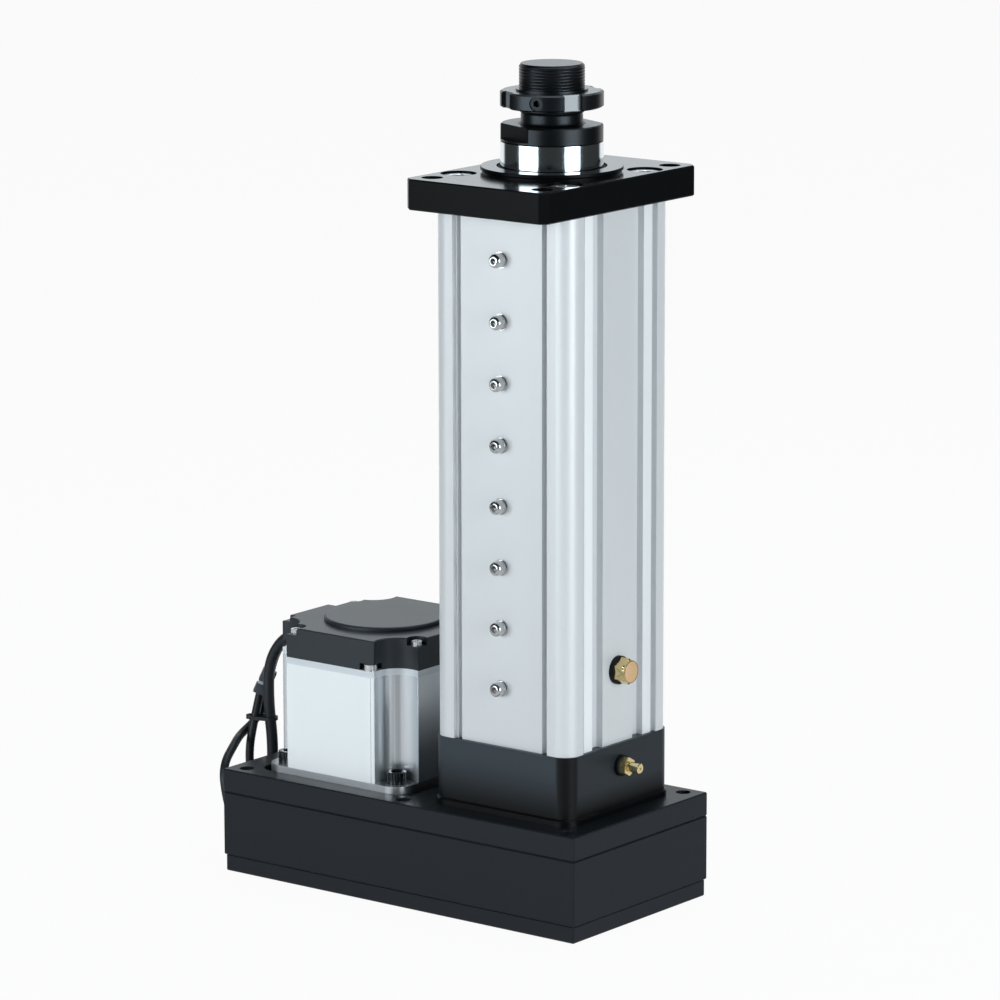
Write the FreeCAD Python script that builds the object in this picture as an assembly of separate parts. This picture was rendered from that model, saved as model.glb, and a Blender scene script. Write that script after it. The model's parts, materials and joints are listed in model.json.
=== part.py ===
import FreeCAD, Part
import math
import os
from FreeCAD import Vector

# A servo electric cylinder: a motor and a ball screw side by side on a belt box.
# Frame: the screw axis is the Z axis, Z = 0 is the underside of the box, X runs along the box.

# Belt box
BASE_LENGTH = 221.0
BASE_WIDTH = 110.0
SCREW_TO_END = 55.0
MOTOR_TO_END = 61.0
COVER_THICKNESS = 8.5
BOX_HEIGHT = 32.5
PLATE_THICKNESS = 12.0
BOX_WALL = 6.5
COVER_INSET = 0.8
EDGE_BREAK = 0.6
BASE_SCREW_INSET_X = 9.5
BASE_SCREW_INSET_Y = 7.5
BASE_SCREW_BOSS_R = 7.0
BASE_SCREW_R = 2.0
BASE_SCREW_HEAD_R = 3.5
BASE_SCREW_HEAD_H = 4.0
BASE_SCREW_SOCKET_AF = 3.0
BASE_SCREW_LENGTH = 20.0
BASE_HEAD_SINK = 1.5
COVER_SCREW_LENGTH = 14.0

# Clearances
HEAD_CLEARANCE = 0.2
SHANK_CLEARANCE = 0.1
RUNNING_CLEARANCE = 0.05
BODY_GAP = 0.3

# Bearing housing
HOUSING_SIZE = 84.0
HOUSING_HEIGHT = 34.0
HOUSING_CORNER_R = 8.0
PLINTH_STEP = 0.9
PLINTH_HEIGHT = 3.4
HOUSING_BOLT_R = 4.0
HOUSING_BOLT_HEAD_R = 6.5
HOUSING_BOLT_HEAD_H = 8.0
HOUSING_BOLT_SOCKET_AF = 6.0
HOUSING_BOLT_GRIP = 22.0
GREASE_BORE_R = 1.5

# Extruded barrel
TUBE_SIZE = 83.0
TUBE_LENGTH = 262.0
TUBE_CORNER_R = 8.3
TUBE_BORE_R = 33.0
PANEL_RECESS = 1.5
WIDE_PANEL_HALF = 24.5
WIDE_GROOVE_WIDTH = 4.0
WIDE_GROOVE_DEPTH = 4.5
LEDGE_WIDTH = 1.2
LEDGE_DEPTH = 2.2
NARROW_PANEL_HALF = 12.2
SLOT_WIDTH = 8.3
SLOT_DEPTH = 5.0
STRIP_WIDTH = 6.5
SIDE_STEP_WIDTH = 2.5
SIDE_STEP_DEPTH = 3.0
LOBE_BOLT_PLACE = 32.0

# Front flange
FLANGE_X = 85.0
FLANGE_Y = 123.5
FLANGE_THICKNESS = 15.0
FLANGE_CHAMFER = 3.6
FLANGE_HOLE_R = 5.25
FLANGE_HOLE_X = 33.0
FLANGE_HOLE_Y = 51.0
FLANGE_SCREW_R = 5.0
FLANGE_SCREW_HEAD_R = 8.0
FLANGE_SCREW_HEAD_H = 10.0
FLANGE_SCREW_SOCKET_AF = 8.0
FLANGE_SCREW_GRIP = 24.0
FLANGE_COUNTERBORE_R = 8.8
FLANGE_COUNTERBORE_DEPTH = 11.0

# Gland, bush and seals of the rod
GLAND_R = 34.5
GLAND_RISE = 3.0
GLAND_RIM_HEIGHT = 1.3
GLAND_TOP_BREAK = 0.2
GLAND_GROOVE = 0.9
GLAND_SPIGOT_R = 31.0
GLAND_DEPTH = 28.0
ROD_BUSH_WALL = 2.5
ROD_BUSH_LENGTH = 16.0
SEAL_WALL = 4.0
SEAL_HEIGHT = 6.0
WIPER_WALL = 1.75
WIPER_HEIGHT = 5.0
WIPER_SINK = 0.8
WIPER_LIP = 0.5

# Piston rod and its threaded end
ROD_R = 25.0
ROD_BORE_R = 15.0
ROD_SEAT_DEPTH = 16.0
ROD_SHOWING = 12.0
COLLAR_R = 24.8
COLLAR_HEIGHT = 8.5
COLLAR_FLATS = 42.0
COLLAR_LIP = 1.4
ROD_TURN = -112.5
NECK_R = 15.0
NECK_HEIGHT = 5.0
NECK_FILLET = 1.5
THREAD_R = 15.9
THREAD_PITCH_R = 15.5
THREAD_RUN_IN = 0.8
THREAD_BELOW_NUT = 3.0
THREAD_ABOVE_NUT = 13.0
STUD_CHAMFER = 1.4
END_SPIGOT_LENGTH = 22.0
LOCK_NUT_R = 25.0
LOCK_NUT_HEIGHT = 8.0
LOCK_NUT_HUB_R = 17.4
LOCK_NUT_HUB_RISE = 0.9
LOCK_NUT_SLOT_WIDTH = 9.5
LOCK_NUT_SLOT_DEPTH = 3.0
LOCK_NUT_SLOT_TURN = -27.8
LOCK_NUT_CHAMFER = 1.2
SET_SCREW_R = 3.4
SET_SCREW_SOCKET_AF = 3.0
SET_SCREW_LENGTH = 7.0
SET_SCREW_TURN = -70.7

# Ball screw, nut and carrier
SCREW_R = 12.5
SCREW_SHOULDER_R = 17.0
SCREW_SHOULDER_H = 4.0
SCREW_TO_FLANGE = 31.0
TIP_BUSH_LENGTH = 11.0
TIP_JOURNAL_R = 9.0
NUT_FLANGE_R = 29.0
NUT_FLANGE_H = 10.0
NUT_BODY_R = 20.0
NUT_BODY_H = 46.0
CARRIER_FLOOR_GAP = 5.0
CARRIER_LENGTH = 64.0
CARRIER_CLEARANCE = 0.3
NUT_SCREW_CIRCLE_R = 24.4
NUT_SCREW_R = 2.5
NUT_SCREW_HEAD_R = 4.2
NUT_SCREW_HEAD_H = 5.0
NUT_SCREW_SOCKET_AF = 4.0
NUT_SCREW_LENGTH = 14.0
NUT_SCREW_COUNT = 5
WEAR_BAND_WIDTH = 8.0
WEAR_BAND_THICKNESS = 1.5
WEAR_BAND_INSET = 6.0

# Guide rail that keeps the rod from turning, and the eight screws that hold it
RAIL_WIDTH = 12.0
RAIL_INNER_Y = 27.5
RAIL_SEAT_Y = 34.5
RAIL_END_MARGIN = 9.0
RAIL_SCREW_TO_HOUSING = 29.0
RAIL_SCREW_TO_FLANGE = 23.0
RAIL_SCREW_COUNT = 8
RAIL_SCREW_R = 2.0
RAIL_SCREW_HEAD_R = 3.5
RAIL_SCREW_HEAD_H = 4.6
RAIL_SCREW_SOCKET_AF = 3.0
RAIL_SCREW_END_GAP = 2.0
RAIL_HOLE_FLOOR = 1.5
WASHER_R = 4.0
WASHER_THICKNESS = 0.8
LOCK_WASHER_R = 3.6
LOCK_WASHER_THICKNESS = 1.1
PAD_THICKNESS = 2.0
PAD_LENGTH = 48.0

# Screw bearings
BEARING_OUTER_R = 26.0
BEARING_INNER_R = 12.5
BEARING_WIDTH = 15.0
BEARING_COUNT = 2
RING_WALL = 4.2
ROLLER_COUNT = 12
ROLLER_LENGTH = 11.0
ROLLER_TILT = 12.0
BEARING_SHOULDER_R = 22.0
BEARING_NUT_R = 19.0
BEARING_NUT_H = 8.0
PLATE_BORE_R = 22.0
JOURNAL_R = 12.5
PULLEY_JOURNAL_R = 10.0

# Belt drive
BELT_PITCH = 5.0
PULLEY_TEETH = 28
BELT_WIDTH = 20.0
BELT_BACK = 1.7
TOOTH_HEIGHT = 2.1
TOOTH_WIDTH = 3.0
PITCH_LINE_GAP = 0.57
PULLEY_FLANGE_RISE = 2.6
PULLEY_FLANGE_THICKNESS = 1.5
BELT_MID_Z = 25.5
BELT_SIDE_GAP = 0.5
KEY_WIDTH = 6.0
KEY_DEPTH = 2.8
KEY_LENGTH = 16.0
END_WASHER_R = 13.0
END_WASHER_THICKNESS = 2.5
END_SCREW_R = 3.0
END_SCREW_LENGTH = 18.0

# Motor
MOTOR_SIZE = 87.0
MOTOR_NOTCH = 15.5
MOTOR_NOTCH_MID = 30.5
MOTOR_SEAT_DEPTH = 6.0
MOTOR_FLANGE_THICKNESS = 9.5
MOTOR_FLANGE_CORNER_R = 9.0
MOTOR_SEAT_TRAVEL = 4.0
MOTOR_SEAT_CORNER_R = 8.0
MOTOR_PILOT_R = 36.5
MOTOR_PILOT_DEPTH = 1.5
MOTOR_SCREW_PLACE = 34.8
MOTOR_SCREW_R = 3.0
MOTOR_SCREW_HEAD_R = 5.0
MOTOR_SCREW_HEAD_H = 6.0
MOTOR_SCREW_SOCKET_AF = 5.0
MOTOR_NUT_AF = 10.0
MOTOR_NUT_H = 5.0
STATOR_HEIGHT = 53.5
STATOR_BORE_R = 27.0
END_BELL_HEIGHT = 3.3
CAP_HEIGHT = 15.5
CAP_WALL = 2.5
CAP_EDGE_BREAK = 0.5
CAP_DISC_R = 30.5
CAP_DISC_RISE = 2.2
CAP_EAR_DROP = 2.1
CAP_EAR_DEPTH = 4.0
CAP_EAR_LENGTH = 6.0
CAP_STEP_DEPTH = 5.5
CAP_STEP_Y = 7.5
CAP_POCKET_R = 5.0
CAP_POCKET_DEPTH = 3.8
CAP_SCREW_R = 1.5
CAP_SCREW_HEAD_R = 2.65
CAP_SCREW_HEAD_H = 3.5
CAP_SCREW_SOCKET_AF = 2.5
CAP_SCREW_LENGTH = 12.0
CAP_SCREW_X = 40.0
CAP_SCREW_Y = -24.5
THROUGH_BOLT_R = 2.0
THROUGH_BOLT_HEAD_R = 3.3
THROUGH_BOLT_HEAD_H = 3.3
THROUGH_BOLT_SOCKET_AF = 3.0
THROUGH_BOLT_THREAD = 5.5
THROUGH_BOLT_X = 23.3
THROUGH_BOLT_Y = -40.2
BOLT_POCKET_R = 5.5
BOLT_POCKET_HEIGHT = 3.6
MOTOR_SHAFT_R = 7.0
ROTOR_R = 26.5
ROTOR_MARGIN = 7.0
MOTOR_BEARING_R = 16.0
MOTOR_BEARING_W = 9.0

# Breather and grease nipple
BREATHER_TO_HOUSING = 36.5
BREATHER_WASHER_R = 6.0
BREATHER_WASHER_T = 1.6
BREATHER_HEX_AF = 11.4
BREATHER_HEX_H = 9.0
BREATHER_HEX_BREAK = 0.6
BREATHER_DISC_R = 4.7
BREATHER_DISC_T = 2.6
BREATHER_DISC_SINK = 0.4
BREATHER_STEM_R = 4.0
BREATHER_STEM_L = 6.5
NIPPLE_TO_DECK = 23.0
NIPPLE_WASHER_R = 4.2
NIPPLE_WASHER_T = 1.0
NIPPLE_HEX_AF = 8.0
NIPPLE_HEX_H = 4.6
NIPPLE_NECK_R = 1.8
NIPPLE_NECK_L = 1.0
NIPPLE_TIP_R = 2.5
NIPPLE_TIP_L = 5.5
NIPPLE_TIP_BREAK = 0.3
NIPPLE_MOUTH_R = 0.6
NIPPLE_MOUTH_DEPTH = 2.0
NIPPLE_STEM_R = 3.0
NIPPLE_STEM_L = 9.0

# Leads, their grommet, tie and connectors
MOTOR_LEAD_R = 2.9
ENCODER_LEAD_R = 2.2
GROMMET_RISE = 1.5
GROMMET_INNER = 4.5
GROMMET_Y = (-5.0, 13.0)
GROMMET_HEIGHT = 7.5
LEAD_RISE = 3.7
ENCODER_LEAD_Y = 9.0
TIE_Z = 66.0
TIE_WIDTH = 2.6
TIE_THICKNESS = 1.2
TIE_HEAD = 4.4
PLUG_WIDTH = 13.0
PLUG_LENGTH = 26.0
PLUG_THICKNESS = 9.0
CONNECTOR_WIDTH = 8.0
CONNECTOR_DEPTH = 6.0
CONNECTOR_STEPS = (5.0, 2.6, 5.8)
CONNECTOR_TURN = 38.0

# Heights and places worked out from the sizes above
BOX_Z = COVER_THICKNESS
PLATE_Z = BOX_Z + BOX_HEIGHT
DECK_Z = PLATE_Z + PLATE_THICKNESS
TUBE_Z = DECK_Z + HOUSING_HEIGHT
FLANGE_Z = TUBE_Z + TUBE_LENGTH
FLANGE_TOP_Z = FLANGE_Z + FLANGE_THICKNESS
GLAND_TOP_Z = FLANGE_TOP_Z + GLAND_RISE
GLAND_BOTTOM_Z = FLANGE_TOP_Z - GLAND_DEPTH
COLLAR_Z = GLAND_TOP_Z + ROD_SHOWING
COLLAR_TOP_Z = COLLAR_Z + COLLAR_HEIGHT
THREAD_Z = COLLAR_TOP_Z + NECK_HEIGHT
LOCK_NUT_Z = THREAD_Z + THREAD_BELOW_NUT
LOCK_NUT_TOP_Z = LOCK_NUT_Z + LOCK_NUT_HEIGHT
STUD_TOP_Z = LOCK_NUT_TOP_Z + THREAD_ABOVE_NUT
SCREW_TOP_Z = FLANGE_Z - SCREW_TO_FLANGE
BREATHER_Z = TUBE_Z + BREATHER_TO_HOUSING
NIPPLE_Z = DECK_Z + NIPPLE_TO_DECK
BASE_LEFT_X = SCREW_TO_END - BASE_LENGTH
MOTOR_X = BASE_LEFT_X + MOTOR_TO_END
MOTOR_SEAT_Z = DECK_Z - MOTOR_SEAT_DEPTH
MOTOR_FLANGE_TOP_Z = MOTOR_SEAT_Z + MOTOR_FLANGE_THICKNESS
STATOR_TOP_Z = MOTOR_FLANGE_TOP_Z + STATOR_HEIGHT
CAP_Z = STATOR_TOP_Z + END_BELL_HEIGHT
CAP_TOP_Z = CAP_Z + CAP_HEIGHT
PANEL_FACE = TUBE_SIZE / 2 - PANEL_RECESS
NUT_Z = TUBE_Z + CARRIER_FLOOR_GAP
CARRIER_Z = NUT_Z + NUT_FLANGE_H
CARRIER_TOP_Z = CARRIER_Z + CARRIER_LENGTH
CARRIER_R = TUBE_BORE_R - CARRIER_CLEARANCE
ROD_Z = CARRIER_TOP_Z - ROD_SEAT_DEPTH
RAIL_SCREW_FIRST_Z = TUBE_Z + RAIL_SCREW_TO_HOUSING
RAIL_SCREW_LAST_Z = FLANGE_Z - RAIL_SCREW_TO_FLANGE
RAIL_SCREW_PITCH = (RAIL_SCREW_LAST_Z - RAIL_SCREW_FIRST_Z) / (RAIL_SCREW_COUNT - 1)
RAIL_Z = RAIL_SCREW_FIRST_Z - RAIL_END_MARGIN
RAIL_TOP_Z = RAIL_SCREW_LAST_Z + RAIL_END_MARGIN
BEARING_TOP_Z = DECK_Z + BEARING_COUNT * BEARING_WIDTH
PITCH_R = PULLEY_TEETH * BELT_PITCH / (2 * math.pi)
PULLEY_R = PITCH_R - PITCH_LINE_GAP
PULLEY_HALF = BELT_WIDTH / 2 + BELT_SIDE_GAP + PULLEY_FLANGE_THICKNESS
PULLEY_Z = BELT_MID_Z - PULLEY_HALF
PULLEY_TOP_Z = BELT_MID_Z + PULLEY_HALF
BELT_OUTER_R = PULLEY_R + BELT_BACK
LEAD_X = MOTOR_X - MOTOR_SIZE / 2 - GROMMET_RISE
LEAD_Z = STATOR_TOP_Z + LEAD_RISE
QUARTERS = (0, 90, 180, 270)

# The motor lead: over and down behind the end of the box, then along the floor
MOTOR_LEAD_ROUTE = [
    (LEAD_X, 0.0, LEAD_Z),
    (-161.0, 0.5, LEAD_Z),
    (-173.5, 1.5, 108.5),
    (-182.0, 0.5, 95.0),
    (-181.8, -0.3, 74.0),
    (-180.0, 1.0, 52.0),
    (-180.5, 0.0, 27.0),
    (-180.0, 8.3, 11.0),
    (-179.0, 22.0, MOTOR_LEAD_R),
    (-179.0, 38.0, MOTOR_LEAD_R),
]

# The encoder lead: down behind the motor lead, round in a loop beside the box and up to its connector
ENCODER_LEAD_ROUTE = [
    (LEAD_X, ENCODER_LEAD_Y, LEAD_Z),
    (-160.5, ENCODER_LEAD_Y, LEAD_Z),
    (-173.5, 9.6, 110.0),
    (-184.5, 10.0, 100.0),
    (-189.5, 9.5, 84.5),
    (-189.5, 6.0, 71.0),
    (-193.2, 2.0, 62.0),
    (-194.0, -8.5, 57.0),
    (-187.0, -20.5, 56.5),
    (-180.5, -38.5, 48.5),
    (-176.8, -40.0, 32.5),
    (-177.0, -34.0, 18.0),
    (-180.5, -22.5, 8.0),
    (-185.5, -9.5, 7.5),
    (-189.5, -1.0, 18.0),
    (-190.5, -4.5, 34.0),
    (-188.5, -8.3, 50.0),
    (-188.8, -3.2, 65.6),
    (-189.4, 2.0, 77.3),
]


def cylinder(radius, height, x=0.0, y=0.0, z=0.0, direction=Vector(0, 0, 1)):
    """A cylinder that starts at a point and runs along a direction."""
    return Part.makeCylinder(radius, height, Vector(x, y, z), direction)


def ring(outer, inner, height, z=0.0):
    """A plain ring about the screw axis."""
    return cylinder(outer, height, z=z).cut(cylinder(inner, height, z=z))


def block(x0, x1, y0, y1, z0, z1):
    """A box between two corners."""
    return Part.makeBox(x1 - x0, y1 - y0, z1 - z0, Vector(x0, y0, z0))


def prism(points, height, z=0.0):
    """A straight prism on a closed outline of (x, y) points."""
    corners = [Vector(x, y, z) for x, y in points]
    wire = Part.makePolygon(corners + corners[:1])
    return Part.Face(wire).extrude(Vector(0, 0, height))


def hexagon(across_flats, height, z=0.0):
    """A hexagonal prism about the Z axis."""
    radius = across_flats / math.sqrt(3)
    turns = [math.radians(60 * k) for k in range(6)]
    return prism([(radius * math.cos(t), radius * math.sin(t)) for t in turns], height, z)


def moved(shape, x=0.0, y=0.0, z=0.0):
    """A copy of a shape, shifted."""
    copy = shape.copy()
    copy.translate(Vector(x, y, z))
    return copy


def turned(shape, degrees, axis=Vector(0, 0, 1), centre=Vector(0, 0, 0)):
    """A copy of a shape, turned about an axis."""
    copy = shape.copy()
    copy.rotate(centre, axis, degrees)
    return copy


def rounded_plate(size_x, size_y, radius, height, z=0.0):
    """A rectangular plate with rounded upright corners, centred on the Z axis."""
    plate = block(-size_x / 2, size_x / 2, -size_y / 2, size_y / 2, z, z + height)
    return plate.makeFillet(radius, upright_edges(plate))


def upright_edges(shape):
    """The straight edges that run along Z."""
    found = []
    for edge in shape.Edges:
        box = edge.BoundBox
        if box.XLength < 1e-6 and box.YLength < 1e-6:
            found.append(edge)
    return found


def edges_at(shape, z):
    """The edges that lie flat at one height."""
    return [e for e in shape.Edges if abs(e.BoundBox.ZMin - z) < 1e-6 and abs(e.BoundBox.ZMax - z) < 1e-6]


def revolved(outline, degrees=360.0):
    """A turned part from (radius, height) points."""
    points = [Vector(r, 0, z) for r, z in outline]
    face = Part.Face(Part.makePolygon(points + points[:1]))
    return face.revolve(Vector(0, 0, 0), Vector(0, 0, 1), degrees)


def cap_screw(radius, length, head_r, head_h, socket_af):
    """A socket-head screw that points down, with the underside of its head at Z = 0."""
    head = cylinder(head_r, head_h)
    head = head.makeChamfer(head_h * 0.1, edges_at(head, head_h))
    socket = hexagon(socket_af, head_h * 0.55, head_h * 0.45)
    shank = cylinder(radius, length, z=-length)
    return head.fuse(shank).cut(socket).removeSplitter()


def sideways_x(shape):
    """Lays a part that points up so that it points along +X."""
    return turned(shape, 90, Vector(0, 1, 0))


def sideways_minus_y(shape):
    """Lays a part that points up so that it points along -Y."""
    return turned(shape, 90, Vector(1, 0, 0))


def group(shapes):
    """Separate solids that share one node."""
    return Part.makeCompound(shapes)


def base_screw_places():
    """The six screw places along the two long sides of the belt box."""
    first = BASE_LEFT_X + BASE_SCREW_INSET_X
    last = SCREW_TO_END - BASE_SCREW_INSET_X
    side = BASE_WIDTH / 2 - BASE_SCREW_INSET_Y
    return [(x, y) for x in (first, (first + last) / 2, last) for y in (-side, side)]


def lobe_places():
    """The four bolt places in the corner lobes of the barrel."""
    a = LOBE_BOLT_PLACE
    return [(-a, -a), (a, -a), (a, a), (-a, a)]


def motor_screw_places():
    """The four mounting screws of the motor."""
    a = MOTOR_SCREW_PLACE
    return [(MOTOR_X - a, -a), (MOTOR_X + a, -a), (MOTOR_X + a, a), (MOTOR_X - a, a)]


def base_block(z, height, inset=0.0):
    """The outline of the belt box, raised to a height."""
    half = BASE_WIDTH / 2 - inset
    body = block(BASE_LEFT_X + inset, SCREW_TO_END - inset, -half, half, z, z + height)
    return body.makeChamfer(EDGE_BREAK, body.Edges)


def slot_cut(radius, travel, x, y, z, height):
    """A slotted hole along X."""
    ends = [cylinder(radius, height, x + s * travel, y, z) for s in (-1, 1)]
    middle = block(x - travel, x + travel, y - radius, y + radius, z, z + height)
    return ends[0].fuse([ends[1], middle])


def base_top_plate():
    """The deck: screw seats, motor pocket with slots, housing bolts and the screw's way through."""
    plate = base_block(PLATE_Z, PLATE_THICKNESS)
    cuts = [cylinder(PLATE_BORE_R, PLATE_THICKNESS, z=PLATE_Z)]
    for x, y in base_screw_places():
        seat_z = DECK_Z - BASE_HEAD_SINK - BASE_SCREW_HEAD_H
        cuts.append(cylinder(BASE_SCREW_HEAD_R + HEAD_CLEARANCE, PLATE_THICKNESS, x, y, seat_z))
        cuts.append(cylinder(BASE_SCREW_R + SHANK_CLEARANCE, PLATE_THICKNESS, x, y, PLATE_Z))
    for x, y in lobe_places():
        cuts.append(cylinder(HOUSING_BOLT_R + SHANK_CLEARANCE, PLATE_THICKNESS, x, y, PLATE_Z))
        head_room = HOUSING_BOLT_HEAD_H + BODY_GAP
        cuts.append(cylinder(HOUSING_BOLT_HEAD_R + HEAD_CLEARANCE, head_room, x, y, PLATE_Z))
    pocket_x = MOTOR_SIZE + 2 * MOTOR_SEAT_TRAVEL
    pocket_y = MOTOR_SIZE + 2 * BODY_GAP
    pocket = rounded_plate(pocket_x, pocket_y, MOTOR_SEAT_CORNER_R, MOTOR_SEAT_DEPTH, MOTOR_SEAT_Z)
    cuts.append(moved(pocket, MOTOR_X))
    pilot_z = MOTOR_SEAT_Z - MOTOR_PILOT_DEPTH - BODY_GAP
    pilot_r = MOTOR_PILOT_R + RUNNING_CLEARANCE
    cuts.append(slot_cut(pilot_r, MOTOR_SEAT_TRAVEL, MOTOR_X, 0, pilot_z, MOTOR_PILOT_DEPTH + BODY_GAP))
    through_r = PULLEY_R + PULLEY_FLANGE_RISE + 1
    cuts.append(slot_cut(through_r, MOTOR_SEAT_TRAVEL, MOTOR_X, 0, PLATE_Z, PLATE_THICKNESS))
    shank_r = MOTOR_SCREW_R + SHANK_CLEARANCE
    for x, y in motor_screw_places():
        cuts.append(slot_cut(shank_r, MOTOR_SEAT_TRAVEL, x, y, PLATE_Z, PLATE_THICKNESS))
    return plate.cut(cuts)


def belt_box_body():
    """The open frame round the belt, with a boss at each screw."""
    body = base_block(BOX_Z, BOX_HEIGHT)
    inner = BASE_WIDTH / 2 - BOX_WALL
    cavity = block(BASE_LEFT_X + BOX_WALL, SCREW_TO_END - BOX_WALL, -inner, inner, BOX_Z, PLATE_Z)
    bosses = [cylinder(BASE_SCREW_BOSS_R, BOX_HEIGHT, x, y, BOX_Z) for x, y in base_screw_places()]
    body = body.cut(cavity.cut(bosses))
    top_depth = BASE_SCREW_LENGTH + BASE_HEAD_SINK + BASE_SCREW_HEAD_H - PLATE_THICKNESS + 1
    bottom_depth = COVER_SCREW_LENGTH + BASE_SCREW_HEAD_H + BODY_GAP - COVER_THICKNESS + 1
    cuts = []
    for x, y in base_screw_places():
        radius = BASE_SCREW_R + SHANK_CLEARANCE
        cuts.append(cylinder(radius, top_depth, x, y, PLATE_Z - top_depth))
        cuts.append(cylinder(radius, bottom_depth, x, y, BOX_Z))
    nut_room_r = MOTOR_NUT_AF / math.sqrt(3) + BODY_GAP
    nut_room_h = MOTOR_NUT_H + BODY_GAP
    for x, y in motor_screw_places():
        cuts.append(cylinder(nut_room_r, nut_room_h, x, y, PLATE_Z - nut_room_h))
    return body.cut(cuts)


def bottom_cover():
    """The plate under the box, with sunk screw heads."""
    plate = base_block(0, COVER_THICKNESS, COVER_INSET)
    cuts = []
    for x, y in base_screw_places():
        cuts.append(cylinder(BASE_SCREW_R + SHANK_CLEARANCE, COVER_THICKNESS, x, y, 0))
        head_room = BASE_SCREW_HEAD_H + BODY_GAP
        cuts.append(cylinder(BASE_SCREW_HEAD_R + HEAD_CLEARANCE, head_room, x, y, 0))
    return plate.cut(cuts)


def top_plate_screws():
    """Six cap screws sunk in the deck."""
    head_r, head_h = BASE_SCREW_HEAD_R, BASE_SCREW_HEAD_H
    screw = cap_screw(BASE_SCREW_R, BASE_SCREW_LENGTH, head_r, head_h, BASE_SCREW_SOCKET_AF)
    seat_z = DECK_Z - BASE_HEAD_SINK - BASE_SCREW_HEAD_H
    return group([moved(screw, x, y, seat_z) for x, y in base_screw_places()])


def bottom_cover_screws():
    """Six cap screws that point up through the bottom cover."""
    head_r, head_h = BASE_SCREW_HEAD_R, BASE_SCREW_HEAD_H
    screw = cap_screw(BASE_SCREW_R, COVER_SCREW_LENGTH, head_r, head_h, BASE_SCREW_SOCKET_AF)
    screw = turned(screw, 180, Vector(1, 0, 0))
    seat_z = BASE_SCREW_HEAD_H + BODY_GAP
    return group([moved(screw, x, y, seat_z) for x, y in base_screw_places()])


def bearing_housing():
    """The black block under the barrel, bored for the screw bearings."""
    body = rounded_plate(HOUSING_SIZE, HOUSING_SIZE, HOUSING_CORNER_R, HOUSING_HEIGHT, DECK_Z)
    plinth_size = HOUSING_SIZE + 2 * PLINTH_STEP
    plinth_r = HOUSING_CORNER_R + PLINTH_STEP
    plinth = rounded_plate(plinth_size, plinth_size, plinth_r, PLINTH_HEIGHT, DECK_Z)
    plinth = plinth.makeChamfer(PLINTH_STEP * 0.95, edges_at(plinth, DECK_Z + PLINTH_HEIGHT))
    body = body.fuse(plinth).removeSplitter()
    cuts = [cylinder(BEARING_OUTER_R, BEARING_COUNT * BEARING_WIDTH, z=DECK_Z)]
    cuts.append(cylinder(BEARING_SHOULDER_R, HOUSING_HEIGHT, z=DECK_Z))
    for x, y in lobe_places():
        cuts.append(cylinder(HOUSING_BOLT_R + SHANK_CLEARANCE, HOUSING_HEIGHT, x, y, DECK_Z))
    depth = HOUSING_SIZE / 2 - BEARING_OUTER_R + 1
    bore = cylinder(GREASE_BORE_R, depth, HOUSING_SIZE / 2 - depth, 0, NIPPLE_Z, Vector(1, 0, 0))
    seat_x = HOUSING_SIZE / 2 - NIPPLE_STEM_L
    seat = cylinder(NIPPLE_STEM_R, NIPPLE_STEM_L, seat_x, 0, NIPPLE_Z, Vector(1, 0, 0))
    return body.cut(cuts + [bore, seat])


def housing_bolts():
    """Four long bolts from under the deck, through the housing, into the barrel."""
    length = DECK_Z + HOUSING_HEIGHT + HOUSING_BOLT_GRIP - PLATE_Z - HOUSING_BOLT_HEAD_H
    head_r, head_h = HOUSING_BOLT_HEAD_R, HOUSING_BOLT_HEAD_H
    bolt = cap_screw(HOUSING_BOLT_R, length, head_r, head_h, HOUSING_BOLT_SOCKET_AF)
    bolt = turned(bolt, 180, Vector(1, 0, 0))
    return group([moved(bolt, x, y, PLATE_Z + HOUSING_BOLT_HEAD_H) for x, y in lobe_places()])


def barrel_quarter():
    """A quarter of the barrel's outline: half the narrow panel, its slot, the lobe, half the wide panel."""
    half = TUBE_SIZE / 2
    slot_end = NARROW_PANEL_HALF + SLOT_WIDTH
    strip_end = slot_end + STRIP_WIDTH
    step_end = strip_end + SIDE_STEP_WIDTH
    groove_end = WIDE_PANEL_HALF + WIDE_GROOVE_WIDTH
    ledge_end = groove_end - LEDGE_WIDTH
    return [
        (PANEL_FACE, NARROW_PANEL_HALF),
        (half - SLOT_DEPTH, NARROW_PANEL_HALF),
        (half - SLOT_DEPTH, slot_end),
        (PANEL_FACE, slot_end),
        (PANEL_FACE, strip_end),
        (half - SIDE_STEP_DEPTH, strip_end),
        (half - SIDE_STEP_DEPTH, step_end),
        (half, step_end),
        (half, half),
        (groove_end, half),
        (groove_end, half - LEDGE_DEPTH),
        (ledge_end, half - LEDGE_DEPTH),
        (ledge_end, half - WIDE_GROOVE_DEPTH),
        (WIDE_PANEL_HALF, half - WIDE_GROOVE_DEPTH),
        (WIDE_PANEL_HALF, PANEL_FACE),
    ]


def barrel_extrusion():
    """The barrel's outline, the same in all four quarters, raised to its length."""
    quarter = barrel_quarter()
    upper = quarter + [(-x, y) for x, y in reversed(quarter)]
    outline = upper + [(-x, -y) for x, y in upper]
    body = prism(outline, TUBE_LENGTH, TUBE_Z)
    near_corner = TUBE_SIZE - EDGE_BREAK
    corners = []
    for edge in upright_edges(body):
        place = edge.BoundBox
        if abs(place.XMin) + abs(place.YMin) > near_corner:
            corners.append(edge)
    return body.makeFillet(TUBE_CORNER_R, corners)


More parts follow.
